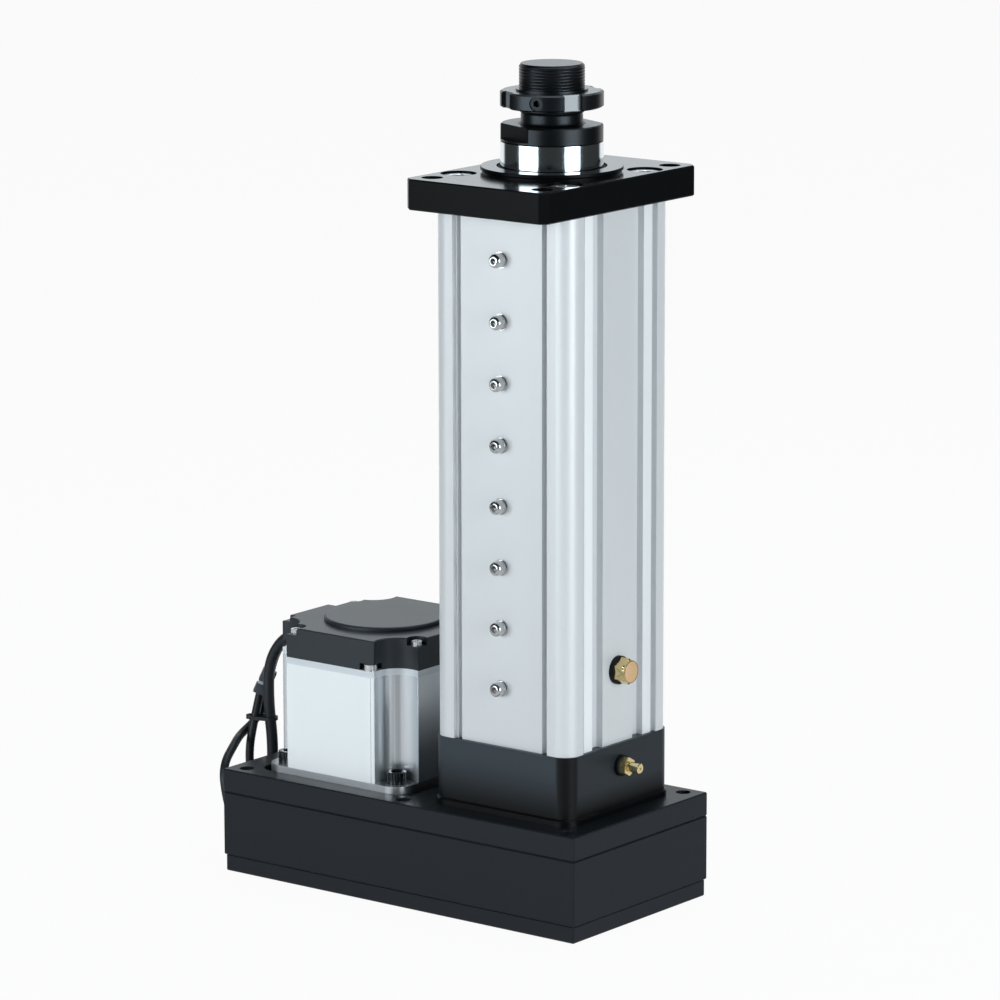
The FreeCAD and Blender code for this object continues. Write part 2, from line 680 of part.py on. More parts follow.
def tube_profile():
    """The extruded barrel, with the rail's channel in its bore."""
    body = barrel_extrusion()
    cuts = [cylinder(TUBE_BORE_R, TUBE_LENGTH, z=TUBE_Z)]
    half = RAIL_WIDTH / 2
    cuts.append(block(-half, half, -RAIL_SEAT_Y, 0, TUBE_Z, FLANGE_Z))
    for x, y in lobe_places():
        cuts.append(cylinder(HOUSING_BOLT_R + SHANK_CLEARANCE, TUBE_LENGTH, x, y, TUBE_Z))
        depth = FLANGE_SCREW_GRIP + 2
        cuts.append(cylinder(FLANGE_SCREW_R + SHANK_CLEARANCE, depth, x, y, FLANGE_Z - depth))
    for z in rail_screw_heights():
        radius = RAIL_SCREW_R + SHANK_CLEARANCE
        cuts.append(cylinder(radius, TUBE_SIZE / 2, 0, -RAIL_SEAT_Y + 1, z, Vector(0, -1, 0)))
    inner_x = PANEL_FACE - BREATHER_STEM_L - 2
    cuts.append(cylinder(BREATHER_STEM_R, TUBE_SIZE, inner_x, 0, BREATHER_Z, Vector(1, 0, 0)))
    return body.cut(cuts)


def front_flange():
    """The mounting plate at the rod end."""
    plate = block(-FLANGE_X / 2, FLANGE_X / 2, -FLANGE_Y / 2, FLANGE_Y / 2, FLANGE_Z, FLANGE_TOP_Z)
    plate = plate.makeChamfer(FLANGE_CHAMFER, upright_edges(plate))
    rims = edges_at(plate, FLANGE_Z) + edges_at(plate, FLANGE_TOP_Z)
    plate = plate.makeChamfer(EDGE_BREAK, rims)
    cuts = [cylinder(GLAND_SPIGOT_R, FLANGE_THICKNESS, z=FLANGE_Z)]
    for x, y in flange_hole_places():
        cuts.append(cylinder(FLANGE_HOLE_R, FLANGE_THICKNESS, x, y, FLANGE_Z))
    for x, y in lobe_places():
        cuts.append(cylinder(FLANGE_SCREW_R + SHANK_CLEARANCE, FLANGE_THICKNESS, x, y, FLANGE_Z))
        seat_z = FLANGE_TOP_Z - FLANGE_COUNTERBORE_DEPTH
        cuts.append(cylinder(FLANGE_COUNTERBORE_R, FLANGE_COUNTERBORE_DEPTH, x, y, seat_z))
    return plate.cut(cuts)


def flange_hole_places():
    """The four corner holes that mount the cylinder by its front flange."""
    return [(sx * FLANGE_HOLE_X, sy * FLANGE_HOLE_Y) for sx in (-1, 1) for sy in (-1, 1)]


def front_flange_screws():
    """Four cap screws through the flange into the barrel."""
    seat_z = FLANGE_TOP_Z - FLANGE_COUNTERBORE_DEPTH
    length = seat_z - FLANGE_Z + FLANGE_SCREW_GRIP
    head_r, head_h = FLANGE_SCREW_HEAD_R, FLANGE_SCREW_HEAD_H
    screw = cap_screw(FLANGE_SCREW_R, length, head_r, head_h, FLANGE_SCREW_SOCKET_AF)
    return group([moved(screw, x, y, seat_z) for x, y in lobe_places()])


def gland_ring():
    """The threaded gland that holds the rod bush, the seal and the wiper."""
    bush_r = ROD_R + RUNNING_CLEARANCE + ROD_BUSH_WALL
    seal_r = ROD_R + SEAL_WALL
    wiper_r = ROD_R + WIPER_WALL
    rim_top = GLAND_TOP_Z - GLAND_TOP_BREAK
    rim_low = rim_top - GLAND_RIM_HEIGHT
    body = revolved([
        (ROD_R + 1, GLAND_BOTTOM_Z),
        (GLAND_SPIGOT_R, GLAND_BOTTOM_Z),
        (GLAND_SPIGOT_R, FLANGE_TOP_Z),
        (GLAND_R - GLAND_GROOVE, FLANGE_TOP_Z),
        (GLAND_R - GLAND_GROOVE, (FLANGE_TOP_Z + rim_low) / 2),
        (GLAND_R, rim_low),
        (GLAND_R, rim_top),
        (GLAND_R - GLAND_TOP_BREAK, GLAND_TOP_Z),
        (ROD_R + 1, GLAND_TOP_Z),
    ])
    cuts = [cylinder(bush_r, ROD_BUSH_LENGTH, z=GLAND_BOTTOM_Z)]
    cuts.append(cylinder(seal_r, SEAL_HEIGHT, z=seal_z()))
    cuts.append(cylinder(wiper_r, WIPER_HEIGHT, z=GLAND_TOP_Z - WIPER_HEIGHT))
    return body.cut(cuts)


def seal_z():
    """Height of the underside of the rod seal."""
    return GLAND_BOTTOM_Z + ROD_BUSH_LENGTH + 1.0


def rod_bush():
    """The bronze bush in the gland."""
    inner = ROD_R + RUNNING_CLEARANCE
    return ring(inner + ROD_BUSH_WALL, inner, ROD_BUSH_LENGTH, GLAND_BOTTOM_Z)


def rod_seal():
    """The lip seal above the bush."""
    inner = ROD_R + RUNNING_CLEARANCE
    z = seal_z()
    return revolved([
        (ROD_R + SEAL_WALL, z),
        (ROD_R + SEAL_WALL, z + SEAL_HEIGHT),
        (ROD_R + SEAL_WALL * 0.6, z + SEAL_HEIGHT),
        (ROD_R + SEAL_WALL * 0.45, z + SEAL_HEIGHT * 0.5),
        (inner, z + SEAL_HEIGHT * 0.75),
        (inner, z),
    ])


def wiper_seal():
    """The wiper, sunk in the mouth of the gland, with a lip that rises to the rod."""
    inner = ROD_R + RUNNING_CLEARANCE
    z = GLAND_TOP_Z - WIPER_HEIGHT
    shoulder_z = GLAND_TOP_Z - WIPER_SINK
    return revolved([
        (ROD_R + WIPER_WALL, z),
        (ROD_R + WIPER_WALL, shoulder_z),
        (ROD_R + WIPER_WALL * 0.6, shoulder_z),
        (ROD_R + WIPER_WALL * 0.3, shoulder_z + WIPER_LIP),
        (inner, shoulder_z + WIPER_LIP),
        (inner, z),
    ])


def piston_rod():
    """The hollow chromed rod."""
    return ring(ROD_R, ROD_BORE_R, COLLAR_Z - ROD_Z, ROD_Z)


def rod_end():
    """The end piece: spigot in the rod, collar with wrench flats, neck and threaded stud."""
    spigot_z = COLLAR_Z - END_SPIGOT_LENGTH
    body = revolved([
        (0, spigot_z),
        (ROD_BORE_R - EDGE_BREAK, spigot_z),
        (ROD_BORE_R, spigot_z + EDGE_BREAK),
        (ROD_BORE_R, COLLAR_Z),
        (COLLAR_R - EDGE_BREAK, COLLAR_Z),
        (COLLAR_R, COLLAR_Z + EDGE_BREAK),
        (COLLAR_R, COLLAR_TOP_Z - EDGE_BREAK),
        (COLLAR_R - EDGE_BREAK, COLLAR_TOP_Z),
        (NECK_R + NECK_FILLET, COLLAR_TOP_Z),
        (NECK_R, COLLAR_TOP_Z + NECK_FILLET),
        (NECK_R, THREAD_Z - THREAD_RUN_IN),
        (THREAD_PITCH_R, THREAD_Z),
        (THREAD_PITCH_R, LOCK_NUT_TOP_Z + LOCK_NUT_HUB_RISE),
        (THREAD_R, LOCK_NUT_TOP_Z + LOCK_NUT_HUB_RISE),
        (THREAD_R, STUD_TOP_Z - STUD_CHAMFER),
        (THREAD_R - STUD_CHAMFER, STUD_TOP_Z),
        (0, STUD_TOP_Z),
    ])
    half = COLLAR_FLATS / 2
    far = COLLAR_R + 2
    flat = block(half, far, -far, far, COLLAR_Z + COLLAR_LIP, COLLAR_TOP_Z)
    return body.cut([turned(flat, ROD_TURN + half_turn) for half_turn in (0, 180)])


def lock_nut():
    """The round slotted nut, with a low hub on top; nut and stud meet at the thread's pitch radius."""
    top = LOCK_NUT_TOP_Z
    lift = LOCK_NUT_CHAMFER * 0.6
    body = revolved([
        (THREAD_PITCH_R, LOCK_NUT_Z),
        (LOCK_NUT_R - LOCK_NUT_CHAMFER, LOCK_NUT_Z),
        (LOCK_NUT_R, LOCK_NUT_Z + lift),
        (LOCK_NUT_R, top - lift),
        (LOCK_NUT_R - LOCK_NUT_CHAMFER, top),
        (LOCK_NUT_HUB_R, top),
        (LOCK_NUT_HUB_R, top + LOCK_NUT_HUB_RISE),
        (THREAD_PITCH_R, top + LOCK_NUT_HUB_RISE),
    ])
    half = LOCK_NUT_SLOT_WIDTH / 2
    slot = block(LOCK_NUT_R - LOCK_NUT_SLOT_DEPTH, LOCK_NUT_R + 1, -half, half, LOCK_NUT_Z, top)
    cuts = [turned(slot, LOCK_NUT_SLOT_TURN + q) for q in QUARTERS]
    middle_z = LOCK_NUT_Z + LOCK_NUT_HEIGHT / 2
    hole = cylinder(SET_SCREW_R, LOCK_NUT_R, THREAD_PITCH_R, 0, middle_z, Vector(1, 0, 0))
    cuts.append(turned(hole, SET_SCREW_TURN))
    return body.cut(cuts)


def lock_nut_set_screw():
    """The socket set screw that locks the nut."""
    screw = cylinder(SET_SCREW_R, SET_SCREW_LENGTH)
    socket = hexagon(SET_SCREW_SOCKET_AF, SET_SCREW_LENGTH / 2, SET_SCREW_LENGTH / 2)
    screw = sideways_x(screw.cut(socket))
    start = LOCK_NUT_R - SET_SCREW_LENGTH - 1.0
    screw = moved(screw, start, 0, LOCK_NUT_Z + LOCK_NUT_HEIGHT / 2)
    return turned(screw, SET_SCREW_TURN)


def screw_shaft():
    """The ball screw: pulley journal, bearing journal, shoulder, thread part and tip."""
    pulley_bottom = PULLEY_Z
    step_z = PULLEY_TOP_Z
    body = revolved([
        (0, pulley_bottom),
        (PULLEY_JOURNAL_R, pulley_bottom),
        (PULLEY_JOURNAL_R, step_z),
        (JOURNAL_R, step_z),
        (JOURNAL_R, BEARING_TOP_Z),
        (SCREW_SHOULDER_R, BEARING_TOP_Z),
        (SCREW_SHOULDER_R, BEARING_TOP_Z + SCREW_SHOULDER_H),
        (SCREW_R, BEARING_TOP_Z + SCREW_SHOULDER_H + 2),
        (SCREW_R, SCREW_TOP_Z - TIP_BUSH_LENGTH),
        (TIP_JOURNAL_R, SCREW_TOP_Z - TIP_BUSH_LENGTH),
        (TIP_JOURNAL_R, SCREW_TOP_Z),
        (0, SCREW_TOP_Z),
    ])
    return body.cut([key_cut(), cylinder(END_SCREW_R, END_SCREW_LENGTH, z=pulley_bottom)])


def key_cut():
    """The keyway of the driven pulley."""
    half = KEY_WIDTH / 2
    z0 = BELT_MID_Z - KEY_LENGTH / 2
    inner = PULLEY_JOURNAL_R - KEY_DEPTH
    return block(inner, PULLEY_JOURNAL_R + KEY_DEPTH, -half, half, z0, z0 + KEY_LENGTH)


def screw_tip_bush():
    """The plastic bush that steadies the screw's free end in the rod."""
    outer = ROD_BORE_R - RUNNING_CLEARANCE
    return ring(outer, TIP_JOURNAL_R, TIP_BUSH_LENGTH - 1, SCREW_TOP_Z - TIP_BUSH_LENGTH)


def bearing_levels():
    """For each bearing its lowest height and the side that its rollers lean to."""
    return [(DECK_Z + k * BEARING_WIDTH, 1 if k % 2 else -1) for k in range(BEARING_COUNT)]


def race_lean():
    """How much farther out a race is at one end of a bearing than at its middle."""
    return math.tan(math.radians(ROLLER_TILT)) * BEARING_WIDTH / 2


def bearing_outer_rings():
    """The two outer rings, back to back."""
    rings = []
    inner = BEARING_OUTER_R - RING_WALL
    for z, side in bearing_levels():
        low = inner - side * race_lean() * 0.5
        high = inner + side * race_lean() * 0.5
        top = z + BEARING_WIDTH
        rings.append(revolved([(BEARING_OUTER_R, z), (BEARING_OUTER_R, top), (high, top), (low, z)]))
    return group(rings)


def bearing_inner_rings():
    """The two inner rings on the screw."""
    rings = []
    outer = BEARING_INNER_R + RING_WALL
    for z, side in bearing_levels():
        low = outer - side * race_lean() * 0.5
        high = outer + side * race_lean() * 0.5
        top = z + BEARING_WIDTH
        rings.append(revolved([(BEARING_INNER_R, z), (low, z), (high, top), (BEARING_INNER_R, top)]))
    return group(rings)


def bearing_rollers():
    """The rollers between the rings."""
    outer = BEARING_OUTER_R - RING_WALL
    inner = BEARING_INNER_R + RING_WALL
    radius = (outer - inner) / 2 - RUNNING_CLEARANCE
    lean = math.degrees(math.atan(race_lean() / BEARING_WIDTH))
    rollers = []
    for z, side in bearing_levels():
        roller_r = radius * math.cos(math.radians(lean)) - RUNNING_CLEARANCE
        roller = cylinder(roller_r, ROLLER_LENGTH, z=-ROLLER_LENGTH / 2)
        roller = turned(roller, side * lean, Vector(0, 1, 0))
        roller = moved(roller, (outer + inner) / 2, 0, z + BEARING_WIDTH / 2)
        rollers += [turned(roller, 360 / ROLLER_COUNT * k) for k in range(ROLLER_COUNT)]
    return group(rollers)


def bearing_lock_nut():
    """The nut under the inner rings."""
    return ring(BEARING_NUT_R, JOURNAL_R, BEARING_NUT_H, DECK_Z - BEARING_NUT_H)


def toothed_pulley(bore_r):
    """A flanged belt pulley, centred on the belt's mid height."""
    height = BELT_WIDTH + 2 * BELT_SIDE_GAP
    z0 = PULLEY_Z + PULLEY_FLANGE_THICKNESS
    body = cylinder(PULLEY_R, height, z=z0)
    gap_r = TOOTH_WIDTH / 2 + HEAD_CLEARANCE
    gap_x = PULLEY_R - TOOTH_HEIGHT + gap_r
    gap = cylinder(gap_r, height, gap_x - HEAD_CLEARANCE, 0, z0)
    cutter = gap.fuse(block(gap_x, PULLEY_R + 1, -gap_r, gap_r, z0, z0 + height))
    body = body.cut([turned(cutter, 360 / PULLEY_TEETH * k) for k in range(PULLEY_TEETH)])
    rim_r = PULLEY_R + PULLEY_FLANGE_RISE
    rims = [cylinder(rim_r, PULLEY_FLANGE_THICKNESS, z=z) for z in (PULLEY_Z, z0 + height)]
    return body.fuse(rims).cut(cylinder(bore_r, 2 * PULLEY_HALF, z=PULLEY_Z))


def driven_pulley():
    """The pulley on the screw."""
    return toothed_pulley(PULLEY_JOURNAL_R).cut(key_cut())


def driven_pulley_key():
    """The parallel key."""
    half = KEY_WIDTH / 2
    z0 = BELT_MID_Z - KEY_LENGTH / 2
    reach = KEY_DEPTH - HEAD_CLEARANCE
    return block(PULLEY_JOURNAL_R - KEY_DEPTH, PULLEY_JOURNAL_R + reach, -half, half, z0, z0 + KEY_LENGTH)


def driven_pulley_washer():
    """The washer that holds the pulley up on its journal."""
    return ring(END_WASHER_R, END_SCREW_R, END_WASHER_THICKNESS, PULLEY_Z - END_WASHER_THICKNESS)


def driven_pulley_screw():
    """The screw in the end of the shaft; its low head stays clear of the bottom cover."""
    low = PULLEY_Z - END_WASHER_THICKNESS
    head_h = (low - COVER_THICKNESS) / 2
    head = cylinder(END_SCREW_R * 1.7, head_h, z=low - head_h)
    head = head.cut(hexagon(END_SCREW_R, head_h / 2, low - head_h))
    shank = cylinder(END_SCREW_R, END_WASHER_THICKNESS + END_SCREW_LENGTH - 2, z=low)
    return head.fuse(shank)


def drive_pulley():
    """The pulley on the motor shaft."""
    return moved(toothed_pulley(MOTOR_SHAFT_R), MOTOR_X)


def timing_belt():
    """The closed belt, toothed on its straight runs: a tooth in a groove would stop a turning pulley."""
    z0 = BELT_MID_Z - BELT_WIDTH / 2
    outer = racetrack(BELT_OUTER_R, BELT_WIDTH, z0)
    inner = racetrack(PULLEY_R + RUNNING_CLEARANCE, BELT_WIDTH, z0)
    tooth_r = TOOTH_WIDTH / 2
    tooth_depth = TOOTH_HEIGHT - HEAD_CLEARANCE
    centre_r = PULLEY_R - tooth_depth + tooth_r
    tip = cylinder(tooth_r, BELT_WIDTH, centre_r, 0, z0)
    root_r = PULLEY_R + BELT_BACK / 2
    tooth = tip.fuse(block(centre_r, root_r, -tooth_r, tooth_r, z0, z0 + BELT_WIDTH))
    sides = [turned(tooth, quarter) for quarter in (-90, 90)]
    return outer.cut(inner).fuse([moved(side, x) for side in sides for x in belt_tooth_places()])


def belt_tooth_places():
    """Where along a straight run the teeth stand clear of both pulleys as these turn."""
    run = abs(MOTOR_X)
    clear = math.sqrt(PULLEY_R ** 2 - (PULLEY_R - TOOTH_HEIGHT) ** 2) + TOOTH_WIDTH
    steps = int((run - 2 * clear) / BELT_PITCH)
    first = (run - steps * BELT_PITCH) / 2
    return [-first - k * BELT_PITCH for k in range(steps + 1)]


def racetrack(radius, height, z):
    """A flat ring shape with straight sides that takes in both pulleys."""
    body = cylinder(radius, height, z=z).fuse(cylinder(radius, height, MOTOR_X, 0, z))
    return body.fuse(block(MOTOR_X, 0, -radius, radius, z, z + height)).removeSplitter()


def ball_nut():
    """The ball nut: round body, flange with a flat at the rail and its screw holes."""
    body = ring(NUT_BODY_R, SCREW_R + RUNNING_CLEARANCE, NUT_BODY_H + NUT_FLANGE_H, NUT_Z)
    flange = ring(NUT_FLANGE_R, SCREW_R + RUNNING_CLEARANCE, NUT_FLANGE_H, NUT_Z)
    flat_y = RAIL_INNER_Y - 1.0
    far = NUT_FLANGE_R + 1
    cuts = [block(-far, far, -far, -flat_y, NUT_Z, CARRIER_Z)]
    for x, y in nut_screw_places():
        cuts.append(cylinder(NUT_SCREW_R + SHANK_CLEARANCE, NUT_FLANGE_H, x, y, NUT_Z))
        cuts.append(cylinder(NUT_SCREW_HEAD_R + HEAD_CLEARANCE, NUT_SCREW_HEAD_H + BODY_GAP, x, y, NUT_Z))
    return body.fuse(flange).cut(cuts)


def nut_screw_places():
    """The screws of the nut's flange, spread so that none meets the rail."""
    turns = [math.radians(-90 + 360 / (NUT_SCREW_COUNT + 1) * (k + 1)) for k in range(NUT_SCREW_COUNT)]
    return [(NUT_SCREW_CIRCLE_R * math.cos(t), NUT_SCREW_CIRCLE_R * math.sin(t)) for t in turns]


def nut_screws():
    """Cap screws that hold the nut under the carrier."""
    head_r, head_h = NUT_SCREW_HEAD_R, NUT_SCREW_HEAD_H
    screw = cap_screw(NUT_SCREW_R, NUT_SCREW_LENGTH, head_r, head_h, NUT_SCREW_SOCKET_AF)
    screw = turned(screw, 180, Vector(1, 0, 0))
    seat_z = NUT_Z + NUT_SCREW_HEAD_H + BODY_GAP
    return group([moved(screw, x, y, seat_z) for x, y in nut_screw_places()])


def rail_slot_half():
    """Half the width of the slot in the carrier, which takes the rail and a pad each side."""
    return RAIL_WIDTH / 2 + RUNNING_CLEARANCE + PAD_THICKNESS


def nut_carrier():
    """The piston that joins nut and rod, slotted for the guide rail."""
    body = cylinder(CARRIER_R, CARRIER_LENGTH, z=CARRIER_Z)
    half = rail_slot_half()
    slot_y = RAIL_INNER_Y - BODY_GAP
    cuts = [block(-half, half, -CARRIER_R - 1, -slot_y, CARRIER_Z, CARRIER_TOP_Z)]
    cuts.append(cylinder(NUT_BODY_R, CARRIER_LENGTH - ROD_SEAT_DEPTH, z=CARRIER_Z))
    cuts.append(cylinder(ROD_R, ROD_SEAT_DEPTH, z=ROD_Z))
    for z in wear_band_heights():
        groove_r = TUBE_BORE_R - RUNNING_CLEARANCE - WEAR_BAND_THICKNESS
        cuts.append(ring(CARRIER_R + 1, groove_r, WEAR_BAND_WIDTH, z))
    hole_depth = NUT_SCREW_LENGTH - NUT_FLANGE_H + NUT_SCREW_HEAD_H + 1
    for x, y in nut_screw_places():
        cuts.append(cylinder(NUT_SCREW_R + SHANK_CLEARANCE, hole_depth, x, y, CARRIER_Z))
    return body.cut(cuts)


def wear_band_heights():
    """The two levels of the wear bands."""
    return (CARRIER_Z + WEAR_BAND_INSET, CARRIER_TOP_Z - WEAR_BAND_INSET - WEAR_BAND_WIDTH)


def carrier_wear_bands():
    """Two split bands that run in the bore."""
    half = rail_slot_half()
    outer = TUBE_BORE_R - RUNNING_CLEARANCE
    bands = []
    for z in wear_band_heights():
        band = ring(outer, outer - WEAR_BAND_THICKNESS, WEAR_BAND_WIDTH, z)
        bands.append(band.cut(block(-half, half, -outer, 0, z, z + WEAR_BAND_WIDTH)))
    return group(bands)


def slide_pads():
    """The two pads in the carrier that run along the sides of the rail."""
    inner = RAIL_WIDTH / 2 + RUNNING_CLEARANCE
    z0 = CARRIER_Z + (CARRIER_LENGTH - PAD_LENGTH) / 2
    depth = CARRIER_R - 1.5
    y0, y1 = -depth, -(RAIL_INNER_Y - BODY_GAP)
    pads = []
    for s in (-1, 1):
        x0, x1 = sorted((s * inner, s * (inner + PAD_THICKNESS)))
        pads.append(block(x0, x1, y0, y1, z0, z0 + PAD_LENGTH))
    return group(pads)


def rail_screw_heights():
    """The heights of the eight rail screws."""
    return [RAIL_SCREW_FIRST_Z + k * RAIL_SCREW_PITCH for k in range(RAIL_SCREW_COUNT)]


def guide_rail():
    """The bar in the bore that keeps the rod from turning."""
    half = RAIL_WIDTH / 2
    bar = block(-half, half, -RAIL_SEAT_Y, -RAIL_INNER_Y, RAIL_Z, RAIL_TOP_Z)
    depth = RAIL_SEAT_Y - RAIL_INNER_Y - RAIL_HOLE_FLOOR
    holes = []
    for z in rail_screw_heights():
        start = -RAIL_SEAT_Y + depth
        holes.append(cylinder(RAIL_SCREW_R + SHANK_CLEARANCE, depth, 0, start, z, Vector(0, -1, 0)))
    return bar.cut(holes)


def guide_rail_screws():
    """Eight domed cap screws through the wide panel into the rail."""
    stack = WASHER_THICKNESS + LOCK_WASHER_THICKNESS
    length = stack + PANEL_FACE - RAIL_INNER_Y - RAIL_SCREW_END_GAP
    head = cylinder(RAIL_SCREW_HEAD_R, RAIL_SCREW_HEAD_H)
    head = head.makeFillet(RAIL_SCREW_HEAD_R * 0.5, edges_at(head, RAIL_SCREW_HEAD_H))
    socket = hexagon(RAIL_SCREW_SOCKET_AF, RAIL_SCREW_HEAD_H * 0.6, RAIL_SCREW_HEAD_H * 0.4)
    screw = head.fuse(cylinder(RAIL_SCREW_R, length, z=-length)).cut(socket)
    screw = sideways_minus_y(screw)
    return group([moved(screw, 0, -PANEL_FACE - stack, z) for z in rail_screw_heights()])


def guide_rail_washers():
    """A flat washer and a spring washer under each rail screw."""
    flat = ring(WASHER_R, RAIL_SCREW_R + SHANK_CLEARANCE, WASHER_THICKNESS)
    spring = ring(LOCK_WASHER_R, RAIL_SCREW_R + SHANK_CLEARANCE, LOCK_WASHER_THICKNESS, WASHER_THICKNESS)
    washers = []
    for z in rail_screw_heights():
        washers.append(moved(sideways_minus_y(flat), 0, -PANEL_FACE, z))
        washers.append(moved(sideways_minus_y(spring), 0, -PANEL_FACE, z))
    return group(washers)


def breather_plug():
    """The brass body of the breather on the narrow panel: a long hexagon, hollow at its front."""
    front = BREATHER_WASHER_T + BREATHER_HEX_H
    vertex_r = BREATHER_HEX_AF / math.sqrt(3)
    turned_form = revolved([
        (0, -BREATHER_STEM_L),
        (BREATHER_STEM_R, -BREATHER_STEM_L),
        (BREATHER_STEM_R, BREATHER_WASHER_T),
        (vertex_r, BREATHER_WASHER_T),
        (vertex_r, front - BREATHER_HEX_BREAK),
        (BREATHER_HEX_AF / 2 - BREATHER_HEX_BREAK / 2, front),
        (0, front),
    ])
    hexa = hexagon(BREATHER_HEX_AF, BREATHER_STEM_L + front, -BREATHER_STEM_L)
    hexa = turned(hexa, 30).common(turned_form)
    hollow_depth = BREATHER_DISC_T + BREATHER_DISC_SINK
    hollow = cylinder(BREATHER_DISC_R, hollow_depth, z=front - hollow_depth)
    return moved(sideways_x(hexa.cut(hollow)), PANEL_FACE, 0, BREATHER_Z)


def breather_element():
    """The sintered disc in the front of the breather."""
    z = BREATHER_WASHER_T + BREATHER_HEX_H - BREATHER_DISC_SINK - BREATHER_DISC_T
    disc = cylinder(BREATHER_DISC_R, BREATHER_DISC_T, z=z)
    return moved(sideways_x(disc), PANEL_FACE, 0, BREATHER_Z)


def breather_washer():
    """The seal under the breather."""
    washer = ring(BREATHER_WASHER_R, BREATHER_STEM_R, BREATHER_WASHER_T)
    return moved(sideways_x(washer), PANEL_FACE, 0, BREATHER_Z)


def grease_nipple():
    """The brass nipple that greases the screw bearings."""
    hex_z = NIPPLE_WASHER_T
    tip_z = hex_z + NIPPLE_HEX_H + NIPPLE_NECK_L
    end_z = tip_z + NIPPLE_TIP_L
    turned_part = revolved([
        (0, -NIPPLE_STEM_L),
        (NIPPLE_STEM_R, -NIPPLE_STEM_L),
        (NIPPLE_STEM_R, hex_z),
        (NIPPLE_NECK_R, hex_z),
        (NIPPLE_NECK_R, tip_z - NIPPLE_TIP_BREAK),
        (NIPPLE_TIP_R, tip_z),
        (NIPPLE_TIP_R, end_z - NIPPLE_TIP_BREAK),
        (NIPPLE_TIP_R - NIPPLE_TIP_BREAK, end_z),
        (NIPPLE_MOUTH_R, end_z),
        (NIPPLE_MOUTH_R, end_z - NIPPLE_MOUTH_DEPTH),
        (0, end_z - NIPPLE_MOUTH_DEPTH),
    ])
    body = turned_part.fuse(hexagon(NIPPLE_HEX_AF, NIPPLE_HEX_H, hex_z))
    return moved(sideways_x(body), HOUSING_SIZE / 2, 0, NIPPLE_Z)


def grease_nipple_washer():
    """The seal under the nipple."""
    washer = ring(NIPPLE_WASHER_R, NIPPLE_STEM_R, NIPPLE_WASHER_T)
    return moved(sideways_x(washer), HOUSING_SIZE / 2, 0, NIPPLE_Z)


def notched_outline(height, z):
    """The motor's square section with a rounded notch at each corner, about the Z axis."""
    half = MOTOR_SIZE / 2
    near = half - MOTOR_NOTCH
    edges = []
    for q in QUARTERS:
        start = Vector(near, -half, z)
        middle = Vector(MOTOR_NOTCH_MID, -MOTOR_NOTCH_MID, z)
        end = Vector(half, -near, z)
        after = Vector(half, near, z)
        arc = Part.Arc(start, middle, end).toShape()
        side = Part.LineSegment(end, after).toShape()
        edges += [turned(arc, q), turned(side, q)]
    face = Part.Face(Part.Wire(Part.__sortEdges__(edges)))
    return face.extrude(Vector(0, 0, height))


def through_bolt_places():
    """Bolt places of the motor, one at the left end of each notch."""
    return quarter_places(THROUGH_BOLT_X, THROUGH_BOLT_Y)


def cap_screw_places():
    """Screw places of the cap, one at the right end of each notch."""
    return quarter_places(CAP_SCREW_X, CAP_SCREW_Y)


def quarter_places(x, y):
    """A point and its three copies a quarter turn apart, about the motor axis."""
    return [(MOTOR_X + x, y), (MOTOR_X - y, x), (MOTOR_X - x, -y), (MOTOR_X + y, -x)]


def motor_flange():
    """The motor's front face: square flange, pilot and bearing seat."""
    size = MOTOR_SIZE
    plate = rounded_plate(size, size, MOTOR_FLANGE_CORNER_R, MOTOR_FLANGE_THICKNESS, MOTOR_SEAT_Z)
    pilot = cylinder(MOTOR_PILOT_R, MOTOR_PILOT_DEPTH, z=MOTOR_SEAT_Z - MOTOR_PILOT_DEPTH)
    body = plate.fuse(pilot)
    pilot_z = MOTOR_SEAT_Z - MOTOR_PILOT_DEPTH
    cuts = [cylinder(MOTOR_SHAFT_R + BODY_GAP, MOTOR_FLANGE_THICKNESS * 2, z=pilot_z)]
    cuts.append(cylinder(MOTOR_BEARING_R, MOTOR_BEARING_W, z=MOTOR_FLANGE_TOP_Z - MOTOR_BEARING_W))
    body = moved(body.cut(cuts), MOTOR_X)
    holes = []
    for x, y in motor_screw_places():
        holes.append(cylinder(MOTOR_SCREW_R + SHANK_CLEARANCE, MOTOR_FLANGE_THICKNESS, x, y, MOTOR_SEAT_Z))
    for x, y in through_bolt_places():
        hole_z = MOTOR_FLANGE_TOP_Z - THROUGH_BOLT_THREAD - 1
        holes.append(cylinder(THROUGH_BOLT_R, THROUGH_BOLT_THREAD + 1, x, y, hole_z))
    return body.cut(holes)


def motor_stator():
    """The notched body of the motor, bored for its rotor."""
    body = notched_outline(STATOR_HEIGHT, MOTOR_FLANGE_TOP_Z)
    body = body.cut(cylinder(STATOR_BORE_R, STATOR_HEIGHT, z=MOTOR_FLANGE_TOP_Z))
    body = moved(body, MOTOR_X)
    holes = []
    for x, y in through_bolt_places():
        holes.append(cylinder(THROUGH_BOLT_R + SHANK_CLEARANCE, STATOR_HEIGHT, x, y, MOTOR_FLANGE_TOP_Z))
    hole_z = STATOR_TOP_Z - CAP_SCREW_LENGTH
    for x, y in cap_screw_places():
        holes.append(cylinder(CAP_SCREW_R + SHANK_CLEARANCE, CAP_SCREW_LENGTH, x, y, hole_z))
    return body.cut(holes)


